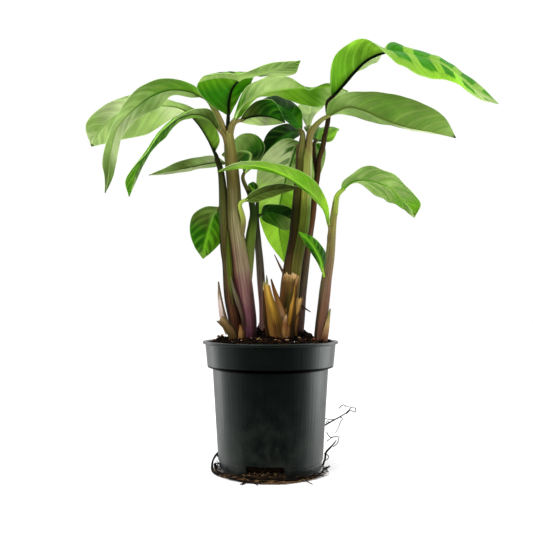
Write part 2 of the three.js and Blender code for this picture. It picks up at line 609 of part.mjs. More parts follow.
function soilBody() {
  const random = seededRandom(7);
  const points = [new THREE.Vector3(0, 0, soilHeight(0, 0))];
  const ring = (radius, heightAt) => {
    for (let index = 0; index < POT_SEGMENTS; index++) {
      const angle = (2 * Math.PI * index) / POT_SEGMENTS;
      const x = radius * Math.cos(angle);
      const y = radius * Math.sin(angle);
      points.push(new THREE.Vector3(x, y, heightAt(x, y)));
    }
  };
  for (const share of SOIL_RINGS) {
    const roughness = share < 1 ? 2.2 : 0.6;
    ring(share * SOIL_RADIUS, (x, y) => soilHeight(x, y) + roughness * (random() - 0.5));
  }
  for (const { radius, height } of soilOutline.toReversed()) {
    ring(radius, () => height);
  }
  const bottom = points.push(new THREE.Vector3(0, 0, soilOutline[0].height)) - 1;
  const triangles = [];
  const rings = SOIL_RINGS.length + soilOutline.length;
  for (let index = 0; index < POT_SEGMENTS; index++) {
    const next = (index + 1) % POT_SEGMENTS;
    triangles.push(0, 1 + index, 1 + next);
    for (let row = 0; row < rings - 1; row++) {
      const a = 1 + row * POT_SEGMENTS + index;
      const b = 1 + row * POT_SEGMENTS + next;
      triangles.push(a, a + POT_SEGMENTS, b + POT_SEGMENTS, a, b + POT_SEGMENTS, b);
    }
    const last = 1 + (rings - 1) * POT_SEGMENTS;
    triangles.push(bottom, last + next, last + index);
  }
  return solidOf(indexedGeometry(points, triangles));
}

// Bark chips lie on the soil, half sunk in it.
function barkChips() {
  const random = seededRandom(23);
  const chips = [];
  for (let index = 0; index < CHIP_COUNT; index++) {
    const distance = 59 * Math.sqrt(random());
    const angle = 2 * Math.PI * random();
    const x = distance * Math.cos(angle);
    const y = distance * Math.sin(angle);
    const chip = new THREE.BoxGeometry(4 + 5 * random(), 2.5 + 2 * random(), 1.6 + 1.2 * random());
    chip.rotateX(0.7 * (random() - 0.5));
    chip.rotateY(0.9 * (random() - 0.5));
    chip.rotateZ(Math.PI * random());
    chips.push(chip.translate(x, y, soilHeight(x, y) + 0.4));
  }
  return fuse(chips);
}

// The plain hole that a stem or stub stands in.
function plantingHole({ path, radius }) {
  const foot = vector(path[0]);
  foot.z -= CLEARANCE;
  const wide = radius + 2 * CLEARANCE;
  return solidOf(taperedTube([foot, ...path.slice(1).map(vector)], [wide, wide]));
}

function soilSolid() {
  const soil = soilBody().add(barkChips());
  return Object.values(roots).reduce((solid, root) => solid.subtract(plantingHole(root)), soil);
}

// ---------------------------------------------------------------- roots at the pot's foot

const ROOT_RADIUS = 0.8;
const ROOT_RING = 59.5; // mean radius of the roots that circle the foot
const ROOT_LIE = ROOT_RADIUS + 0.1; // height of a root's centre where it lies on the ground
const MAT_RADIUS = 3.5; // half the thickness of the felt of roots before the front notch
const MAT_SHOOTS = 7;

// A place round the foot, by its bearing in degrees: 0 is the front, and + is to the right.
function atBearing(bearing, radius, height) {
  const angle = THREE.MathUtils.degToRad(bearing);
  return new THREE.Vector3(radius * Math.sin(angle), -radius * Math.cos(angle), height);
}

function rootTube(path, radii = [ROOT_RADIUS, ROOT_RADIUS]) {
  return taperedTube(path, radii, 5, 12);
}

// One root that circles the foot from one bearing to another.
function circlingRoot(from, to, reach, lift, seed) {
  const random = seededRandom(seed);
  const path = [];
  const points = Math.ceil(Math.abs(to - from) / 15);
  for (let index = 0; index <= points; index++) {
    const loose = index > 0 && index < points ? 1 : 0;
    const radius = ROOT_RING + reach + 1.4 * loose * (random() - 0.5);
    const height = ROOT_LIE + lift * loose * random();
    path.push(atBearing(THREE.MathUtils.lerp(from, to, index / points), radius, height));
  }
  return rootTube(path);
}

// The felt of roots in front of the notch.
function rootFelt() {
  const bearings = [-50, -30, -10, 10, 30, 46];
  const path = bearings.map((bearing) => atBearing(bearing, ROOT_RING - 1, MAT_RADIUS + 0.2));
  return taperedTube(path, [1, MAT_RADIUS, MAT_RADIUS, MAT_RADIUS, 1], STEM_SIDES, 9);
}

// Short roots that come out of the notch and bend down into the felt.
function notchRoots() {
  const random = seededRandom(41);
  const shoots = [];
  for (let index = 0; index < MAT_SHOOTS; index++) {
    const spread = (NOTCH_WIDTH - 10) * ((index + 0.5) / MAT_SHOOTS - 0.5);
    const x = spread - 5;
    const start = new THREE.Vector3(x, -50, 5.2);
    const middle = new THREE.Vector3(x + 3 * (random() - 0.5), -55, 6 + 2 * random());
    const end = new THREE.Vector3(x + 12 * (random() - 0.5), -ROOT_RING - 1.5, 2 + 2 * random());
    shoots.push(taperedTube([start, middle, end], [0.9, 0.9], 5, 6));
  }
  return shoots;
}

// Loose roots that stand off from the pot's foot.
function looseRoots() {
  return [
    rootTube([atBearing(128, ROOT_RING - 3, ROOT_LIE), vector([49, 32, 22]), vector([54, 24, 36]),
      vector([60, 15, 43]), vector([68, 13, 48]), vector([75, 12, 52]), vector([82, 11, 57]),
      vector([86, 10, 61])], [0.9, 0.8, 0.7, 0.5]),
    rootTube([atBearing(98, ROOT_RING - 3, ROOT_LIE), vector([58, 6, 8]), vector([59, 5, 15]),
      vector([66, 5, 23]), vector([70, 5, 28])], [0.8, 0.7, 0.5]),
    rootTube([atBearing(80, ROOT_RING - 3, ROOT_LIE), vector([59, -3, ROOT_LIE]),
      vector([63, 4, ROOT_LIE])], [0.8, 0.6]),
    rootTube([atBearing(-116, ROOT_RING - 3, ROOT_LIE), vector([-56, 12, 9]), vector([-57, -2, 14]),
      vector([-60, -6, 9]), vector([-60, -10, 2]), vector([-57, -20, ROOT_LIE]),
      atBearing(-56, ROOT_RING - 3, ROOT_LIE)], [0.9, 0.9, 0.8]),
  ];
}

function rootMat() {
  return fuse([
    rootFelt(),
    circlingRoot(-116, 128, -3, 0.8, 3),
    circlingRoot(-96, 70, -1, 3.5, 11),
    circlingRoot(-62, 92, -0.8, 4.5, 17),
    circlingRoot(-52, 48, 1.6, 5.5, 29),
    ...notchRoots(),
    ...looseRoots(),
  ]);
}

// ---------------------------------------------------------------- assembly

const plant = new THREE.Group();
plant.name = "zebra_plant";

function place(name, shape, material) {
  const geometry = shape.isBufferGeometry ? shape : geometryOf(shape);
  const mesh = new THREE.Mesh(geometry, material);
  mesh.name = name;
  plant.add(mesh);
}

place("pot", potSolid(), blackPlastic);
place("soil", soilSolid(), pottingSoil);
place("root_mat", rootMat(), rootBrown);
place("stem_a", stemClusterA(), stemOlive);
place("stem_b", stemClusterB(), stemOlive);
place("stem_b_right", stemClusterBRight(), stemDark);
place("stem_c", stemClusterC(), stemOlive);
place("stem_d", stemClusterD(), stemDark);
place("stub_front", stubFront(), drySheath);
place("stub_left", stubLeft(), drySheath);
for (const [name, blade] of Object.entries(blades)) {
  place(name, bladeGeometry(blade), blade.finish);
}

export default plant;
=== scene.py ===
"""The looks of a potted zebra plant (Calathea zebrina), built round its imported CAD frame.

+Z is up and the plant's front looks along -Y. Sizes and places are written in millimetres, as in
the CAD model, and turned into metres where a mesh is made. Lights and the scales of noise are in
metres. Each leaf blade is lofted over its midrib and its two margins, each stem and root is a
tube along a curve, and the pot is turned.
"""

import math
import random
from dataclasses import dataclass

import bmesh
import bpy
import numpy as np
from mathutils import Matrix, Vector, noise


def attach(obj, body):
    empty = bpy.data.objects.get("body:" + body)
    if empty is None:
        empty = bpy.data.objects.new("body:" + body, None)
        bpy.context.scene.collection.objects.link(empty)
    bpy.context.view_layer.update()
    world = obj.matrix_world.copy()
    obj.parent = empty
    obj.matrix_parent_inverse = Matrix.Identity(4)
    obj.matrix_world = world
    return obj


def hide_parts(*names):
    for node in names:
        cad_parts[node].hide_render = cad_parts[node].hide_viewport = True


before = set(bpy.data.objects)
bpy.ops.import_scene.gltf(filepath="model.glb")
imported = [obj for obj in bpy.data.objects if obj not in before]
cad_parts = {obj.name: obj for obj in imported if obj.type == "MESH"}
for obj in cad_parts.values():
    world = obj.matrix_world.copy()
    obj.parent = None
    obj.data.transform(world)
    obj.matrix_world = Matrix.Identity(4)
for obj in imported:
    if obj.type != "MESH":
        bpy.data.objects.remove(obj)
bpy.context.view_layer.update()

MM = 0.001
CLEARANCE = 0.35  # what the CAD model leaves between pieces that touch
WELD_REACH = 1e-5  # in metres

# ---------------------------------------------------------------- camera and studio

CAMERA_DISTANCE = 653
CAMERA_HEIGHT = 168.4
IMAGE_SIZE = 533  # width and height of the picture, in pixels
FOCAL_PIXELS = 620
AXIS_PIXEL = (270.5, 308)  # where the camera's axis meets the picture
SENSOR_WIDTH = 36

FLOOR_RADIUS = 6
FRONT_LIGHT = 0.03  # the studio is dark behind the camera, and white behind the plant and above
BACK_LIGHT = 1.0
TOP_LIGHT = 1.5
BACK_FADE = (-0.75, 0.35)  # how far a direction points back where the white begins and is full
TOP_FADE = (0.15, 0.8)

# name, place, target, width and height, watts, and which rays don't see it
LIGHTS = (
    ("key", (-0.9, -0.8, 1.4), (0, 0, 0.3), (0.8, 0.8), 12, None),
    ("left_strip", (-0.95, -0.45, 0.3), (0, 0, 0.1), (0.4, 1.0), 10, "visible_glossy"),
    ("right_strip", (0.85, -0.7, 0.3), (0, 0, 0.1), (0.36, 1.0), 11, "visible_glossy"),
    # cards that show only in the pot's sheen
    ("left_card", (-0.85, 0.5, 0.25), (0, 0, 0.1), (0.35, 1.0), 2.6, "visible_diffuse"),
    ("right_card", (0.95, 0.25, 0.25), (0, 0, 0.1), (0.75, 1.0), 8, "visible_diffuse"),
)


def linked(name, data):
    """A new object in the scene."""
    made = bpy.data.objects.new(name, data)
    bpy.context.scene.collection.objects.link(made)
    return made


def add_node(tree, kind, inputs, settings=None):
    """A node whose inputs are fed by outputs of other nodes or set to fixed values."""
    made = tree.nodes.new(kind)
    for key, value in (settings or {}).items():
        setattr(made, key, value)
    for key, value in inputs.items():
        feed(tree, made, key, value)
    return made


def feed(tree, node, socket, value):
    if isinstance(value, bpy.types.NodeSocket):
        tree.links.new(value, node.inputs[socket])
    else:
        node.inputs[socket].default_value = value


def make_camera():
    data = bpy.data.cameras.new("camera")
    data.sensor_width = SENSOR_WIDTH
    data.lens = SENSOR_WIDTH * FOCAL_PIXELS / IMAGE_SIZE
    data.shift_x = (IMAGE_SIZE / 2 - AXIS_PIXEL[0]) / IMAGE_SIZE
    data.shift_y = (AXIS_PIXEL[1] - IMAGE_SIZE / 2) / IMAGE_SIZE
    camera = linked("camera", data)
    camera.location = (0, -CAMERA_DISTANCE * MM, CAMERA_HEIGHT * MM)
    camera.rotation_euler = (math.radians(90), 0, 0)
    bpy.context.scene.camera = camera


def area_light(name, place, target, size, watts, unseen_by):
    data = bpy.data.lights.new(name, "AREA")
    data.shape = "RECTANGLE"
    data.size, data.size_y = size
    data.energy = watts
    light = linked(name, data)
    light.location = place
    light.rotation_euler = (Vector(target) - Vector(place)).to_track_quat("-Z", "Y").to_euler()
    if unseen_by:
        setattr(light, unseen_by, False)


def studio_world():
    """A world that is dark towards the front and white at the back and above."""
    world = bpy.data.worlds.new("studio")
    world.use_nodes = True
    tree = world.node_tree
    background = tree.nodes["Background"]
    background.inputs["Color"].default_value = (1, 1, 1, 1)

    def fade(value, bounds, low, high):
        inputs = {0: value, 1: bounds[0], 2: bounds[1], 3: low, 4: high}
        settings = {"interpolation_type": "SMOOTHSTEP"}
        return add_node(tree, "ShaderNodeMapRange", inputs, settings).outputs[0]

    def larger(first, second):
        inputs = {0: first, 1: second}
        return add_node(tree, "ShaderNodeMath", inputs, {"operation": "MAXIMUM"}).outputs[0]

    direction = add_node(tree, "ShaderNodeTexCoord", {}).outputs["Generated"]
    parts = add_node(tree, "ShaderNodeSeparateXYZ", {0: direction}).outputs
    level = fade(parts[1], BACK_FADE, FRONT_LIGHT, BACK_LIGHT)
    lit = larger(level, fade(parts[2], TOP_FADE, 0.0, TOP_LIGHT))
    seen = add_node(tree, "ShaderNodeLightPath", {}).outputs["Is Camera Ray"]
    feed(tree, background, "Strength", larger(lit, seen))
    return world


def make_studio():
    scene = bpy.context.scene
    scene.view_settings.view_transform = "Standard"
    scene.world = studio_world()
    for light in LIGHTS:
        area_light(*light)


def make_floor():
    floor = linked("floor", bpy.data.meshes.new("floor"))
    form = bmesh.new()
    bmesh.ops.create_circle(form, cap_ends=True, segments=96, radius=FLOOR_RADIUS)
    form.to_mesh(floor.data)
    form.free()
    paint = Paint("floor", {"Roughness": 0.9, "Specular IOR Level": 0.1})
    paint.color((0.93, 0.93, 0.93))
    floor.data.materials.append(paint.material)
    floor.visible_glossy = False


# ---------------------------------------------------------------- materials


def linear(code):
    """A colour such as "#7cc142" as linear red, green and blue."""
    shares = [int(code[place : place + 2], 16) / 255 for place in (1, 3, 5)]
    return [s / 12.92 if s <= 0.04045 else ((s + 0.055) / 1.055) ** 2.4 for s in shares]


class Paint:
    """A material of one Principled shader, and the nodes that feed it."""

    def __init__(self, name, fixed):
        self.material = bpy.data.materials.new(name)
        self.material.use_nodes = True
        self.tree = self.material.node_tree
        self.shader = self.tree.nodes["Principled BSDF"]
        for socket, value in fixed.items():
            self.shader.inputs[socket].default_value = value

    def node(self, kind, inputs, settings=None):
        return add_node(self.tree, kind, inputs, settings)

    def feed(self, socket, value):
        feed(self.tree, self.shader, socket, value)

    def color(self, value):
        self.feed("Base Color", self.rgba(value))

    def bump(self, height, distance):
        inputs = {"Distance": distance, "Height": height}
        self.feed("Normal", self.node("ShaderNodeBump", inputs).outputs[0])

    def math(self, operation, first, second=0.0, third=0.0):
        inputs = {0: first, 1: second, 2: third}
        return self.node("ShaderNodeMath", inputs, {"operation": operation}).outputs[0]

    def plus(self, first, second):
        return self.math("ADD", first, second)

    def times(self, first, second):
        return self.math("MULTIPLY", first, second)

    def scaled(self, value, factor, offset):
        return self.math("MULTIPLY_ADD", value, factor, offset)

    def centred(self, value, width):
        """A value from 0 to 1, spread over this width with 0 in its middle."""
        return self.scaled(value, width, -width / 2)

    def smooth(self, value, low, high):
        """A smooth step from 0 to 1 as the value goes from low to high."""
        inputs = {"Value": value, 1: low, 2: high}
        settings = {"interpolation_type": "SMOOTHSTEP"}
        return self.node("ShaderNodeMapRange", inputs, settings).outputs[0]

    def mix(self, share, first, second, blend="MIX"):
        inputs = {0: share, 6: self.rgba(first), 7: self.rgba(second)}
        settings = {"data_type": "RGBA", "blend_type": blend}
        return self.node("ShaderNodeMix", inputs, settings).outputs[2]

    def shaded(self, color, shade):
        """A colour, darker or lighter by a factor."""
        return self.mix(1.0, color, self.join(shade, shade, shade), "MULTIPLY")

    @staticmethod
    def rgba(value):
        """A colour socket's input: another node's output, a hex code or linear shares."""
        if isinstance(value, bpy.types.NodeSocket):
            return value
        shares = linear(value) if isinstance(value, str) else value
        return (*shares, 1)

    def ramp(self, value, colors, places=None):
        """Colours spread evenly, or at the given places, over the value's range from 0 to 1."""
        made = self.node("ShaderNodeValToRGB", {0: value})
        made.color_ramp.interpolation = "EASE"
        stops = made.color_ramp.elements
        while len(stops) > 1:
            stops.remove(stops[-1])
        for index, color in enumerate(colors):
            place = places[index] if places else index / max(1, len(colors) - 1)
            stop = stops[0] if index == 0 else stops.new(place)
            stop.position = place
            stop.color = self.rgba(color)
        return made.outputs[0]

    def levels(self, value, levels):
        """Levels spread evenly over the value's range from 0 to 1."""
        return self.ramp(value, [[level] * 3 for level in levels])

    def noise(self, vector, scale, detail=3.0, roughness=0.5):
        inputs = {"Vector": vector, "Scale": scale, "Detail": detail, "Roughness": roughness}
        return self.node("ShaderNodeTexNoise", inputs).outputs[0]

    def streaks(self, along, across, scales, detail):
        """Noise that is drawn out, with a scale of its own along and across."""
        place = self.join(self.times(along, scales[0]), self.times(across, scales[1]))
        return self.noise(place, 1.0, detail)

    def split(self, vector):
        return self.node("ShaderNodeSeparateXYZ", {0: vector}).outputs

    def join(self, x, y, z=0.0):
        return self.node("ShaderNodeCombineXYZ", {0: x, 1: y, 2: z}).outputs[0]

    def uv(self, layer):
        return self.node("ShaderNodeUVMap", {}, {"uv_map": layer}).outputs[0]

    def place(self):
        """Where the point is in the object, in metres."""
        return self.node("ShaderNodeTexCoord", {}).outputs["Object"]


# ---------------------------------------------------------------- curves and surfaces


def unit(vectors):
    """The vectors, each brought to a length of 1."""
    lengths = np.linalg.norm(vectors, axis=-1, keepdims=True)
    return vectors / np.maximum(lengths, 1e-9)


SPLINE_STEPS = 60  # straight steps between two stations, for measuring a curve
TUBE_STEP = 2.5  # from ring to ring


class Spline:
    """The centripetal Catmull-Rom curve through some stations, as the CAD model has it."""

    def __init__(self, stations):
        stations = np.array(stations, float)
        before = 2 * stations[0] - stations[1]
        after = 2 * stations[-1] - stations[-2]
        self.padded = np.vstack([before, stations, after])
        self.spans = len(stations) - 1
        self.dense = np.linspace(0, 1, SPLINE_STEPS * self.spans + 1)
        steps = np.linalg.norm(np.diff(self.at(self.dense), axis=0), axis=1)
        self.travelled = np.concatenate([[0], np.cumsum(steps)])
        self.length = self.travelled[-1]

    def at(self, shares):
        """The points at these shares of the stations, from 0 to 1."""
        place = np.clip(shares, 0, 1) * self.spans
        span = np.minimum(place.astype(int), self.spans - 1)
        w = (place - span)[:, None]
        x0, x1, x2, x3 = (self.padded[span + step] for step in range(4))
        first, middle, last = (self.knot(a, b) for a, b in ((x0, x1), (x1, x2), (x2, x3)))
        start = ((x1 - x0) / first - (x2 - x0) / (first + middle)) * middle + x2 - x1
        end = x2 - x1 + ((x3 - x2) / last - (x3 - x1) / (middle + last)) * middle
        square = 3 * (x2 - x1) - 2 * start - end
        cube = 2 * (x1 - x2) + start + end
        return x1 + w * (start + w * (square + w * cube))

    @staticmethod
    def knot(a, b):
        return np.maximum(((b - a) ** 2).sum(axis=1, keepdims=True) ** 0.25, 1e-4)

    def tangents(self, shares):
        return unit(self.at(np.minimum(shares + 1e-4, 1)) - self.at(np.maximum(shares - 1e-4, 0)))

    def even_shares(self, steps):
        """The shares that part the curve into steps of one length."""
        return np.interp(np.linspace(0, self.length, steps + 1), self.travelled, self.dense)

    def length_at(self, shares):
        return np.interp(shares, self.dense, self.travelled)


def weld(mesh):
    """Joins the points that lie on one another, as where a tube closes, and fills small holes."""
    joined = bmesh.new()
    joined.from_mesh(mesh)
    bmesh.ops.remove_doubles(joined, verts=joined.verts, dist=WELD_REACH)
    bmesh.ops.holes_fill(joined, edges=joined.edges, sides=4)
    joined.to_mesh(mesh)
    joined.free()


class Shape:
    """The surfaces of one piece, gathered one by one."""

    def __init__(self):
        self.points = []
        self.faces = []
        self.finishes = []
        self.maps = []
        self.count = 0

    def add(self, points, faces, finish=0, first_map=None, second_map=None):
        """Adds a surface. Its maps hold two numbers a point, and finish is a material's index."""
        blank = np.zeros((len(points), 2))
        self.points.append(points)
        self.maps.append(np.hstack([blank if first_map is None else first_map,
                                    blank if second_map is None else second_map]))
        self.faces.extend([corner + self.count for corner in face] for face in faces)
        self.finishes.extend([finish] * len(faces) if isinstance(finish, int) else finish)
        self.count += len(points)

    def piece(self, name, materials, replaces=(), crease=40, map_names=("first", "second")):
        """Makes one object of the surfaces. Edges sharper than crease degrees stay sharp."""
        mesh = bpy.data.meshes.new(name)
        points = np.vstack(self.points) * MM
        mesh.from_pydata(points.tolist(), [], self.faces)
        corners = np.empty(len(mesh.loops), int)
        mesh.loops.foreach_get("vertex_index", corners)
        maps = np.vstack(self.maps)[corners]
        for index, map_name in enumerate(map_names):
            layer = mesh.uv_layers.new(name=map_name)
            layer.uv.foreach_set("vector", maps[:, 2 * index : 2 * index + 2].ravel())
        for paint in materials:
            mesh.materials.append(paint.material)
        mesh.polygons.foreach_set("material_index", self.finishes)
        weld(mesh)
        mesh.shade_smooth()
        mesh.set_sharp_from_angle(angle=math.radians(crease))
        mesh.update()
        made = linked(name, mesh)
        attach(made, "root")
        if replaces:
            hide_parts(*replaces)


def grid_faces(rows, columns, offset=0, flip=False):
    """The quads of a grid of points, row by row."""
    faces = []
    for row in range(rows - 1):
        for column in range(columns - 1):
            a = offset + row * columns + column
            face = [a, a + 1, a + columns + 1, a + columns]
            faces.append(face[::-1] if flip else face)
    return faces


def shell(upper, lower):
    """A closed sheet between two grids of points. Gives its points, faces and which face is which."""
    rows, columns = upper.shape[:2]
    count = rows * columns
    points = np.vstack([upper.reshape(-1, 3), lower.reshape(-1, 3)])
    top = grid_faces(rows, columns)
    bottom = grid_faces(rows, columns, count, flip=True)
    left = [row * columns for row in range(rows)]
    right = [corner + columns - 1 for corner in left]
    first = list(range(columns))
    last = [corner + (rows - 1) * columns for corner in first]
    edges = []
    for edge in (left, last, right[::-1], first[::-1]):
        for a, b in zip(edge, edge[1:]):
            edges.append([b, a, a + count, b + count])
    sides = [0] * len(top) + [1] * len(bottom) + [0] * len(edges)
    return points, top + bottom + edges, sides


def carried_frames(tangents):
    """Two directions across a curve at each point, carried along it without twist."""
    guide = np.array([0.0, -1.0, 0.0]) if abs(tangents[0][1]) < 0.9 else np.array([1.0, 0, 0])
    across = []
    for tangent in tangents:
        guide = unit(guide - tangent * guide.dot(tangent))
        across.append(guide)
    across = np.array(across)
    return across, np.cross(tangents, across)


def spread_values(values, shares):
    """Values spread evenly along 0 to 1, with straight lines between them."""
    return np.interp(shares, np.linspace(0, 1, len(values)), values)


def add_tube(shape, path, radii, sides, step, flutes, seed, finish):
    """A closed tube. Its first map holds its length in metres and the turn round it from 0 to 1."""
    spline = Spline(path)
    steps = max(4, round(spline.length / step))
    shares = spline.even_shares(steps)
    centres = spline.at(shares)
    tangents = spline.tangents(shares)
    first, second = carried_frames(tangents)
    even = np.linspace(0, 1, steps + 1)
    radius = spread_values(radii, even)[:, None]
    angle = np.linspace(0, 2 * math.pi, sides + 1)[None, :]
    ripple = np.ones((steps + 1, sides + 1))
    draw = random.Random(seed)
    for count, depth in flutes:
        turn = draw.uniform(0, 2 * math.pi) + draw.uniform(-1, 1) * even[:, None]
        ripple = ripple + depth * np.cos(count * angle + turn)
    reach = (radius * ripple)[:, :, None]
    ring = np.cos(angle)[:, :, None] * first[:, None] + np.sin(angle)[:, :, None] * second[:, None]
    points = centres[:, None] + reach * ring
    length = np.repeat(spline.length_at(shares)[:, None] * MM, sides + 1, axis=1)
    turn = np.repeat(angle / (2 * math.pi), steps + 1, axis=0)
    maps = np.stack([length.ravel(), turn.ravel()], axis=1)
    # each ring's last point lies on its first, and stays apart only in the map
    faces = grid_faces(steps + 1, sides + 1)
    last = steps * (sides + 1)
    start = last + sides + 1
    end = start + 1
    for side in range(sides):
        faces.append([start, side + 1, side])
        faces.append([end, last + side, last + side + 1])
    flat = np.vstack([points.reshape(-1, 3), centres[:1], centres[-1:]])
    maps = np.vstack([maps, [[0, 0.5]], [[spline.length * MM, 0.5]]])
    shape.add(flat, faces, finish, maps)


# ---------------------------------------------------------------- leaf blades

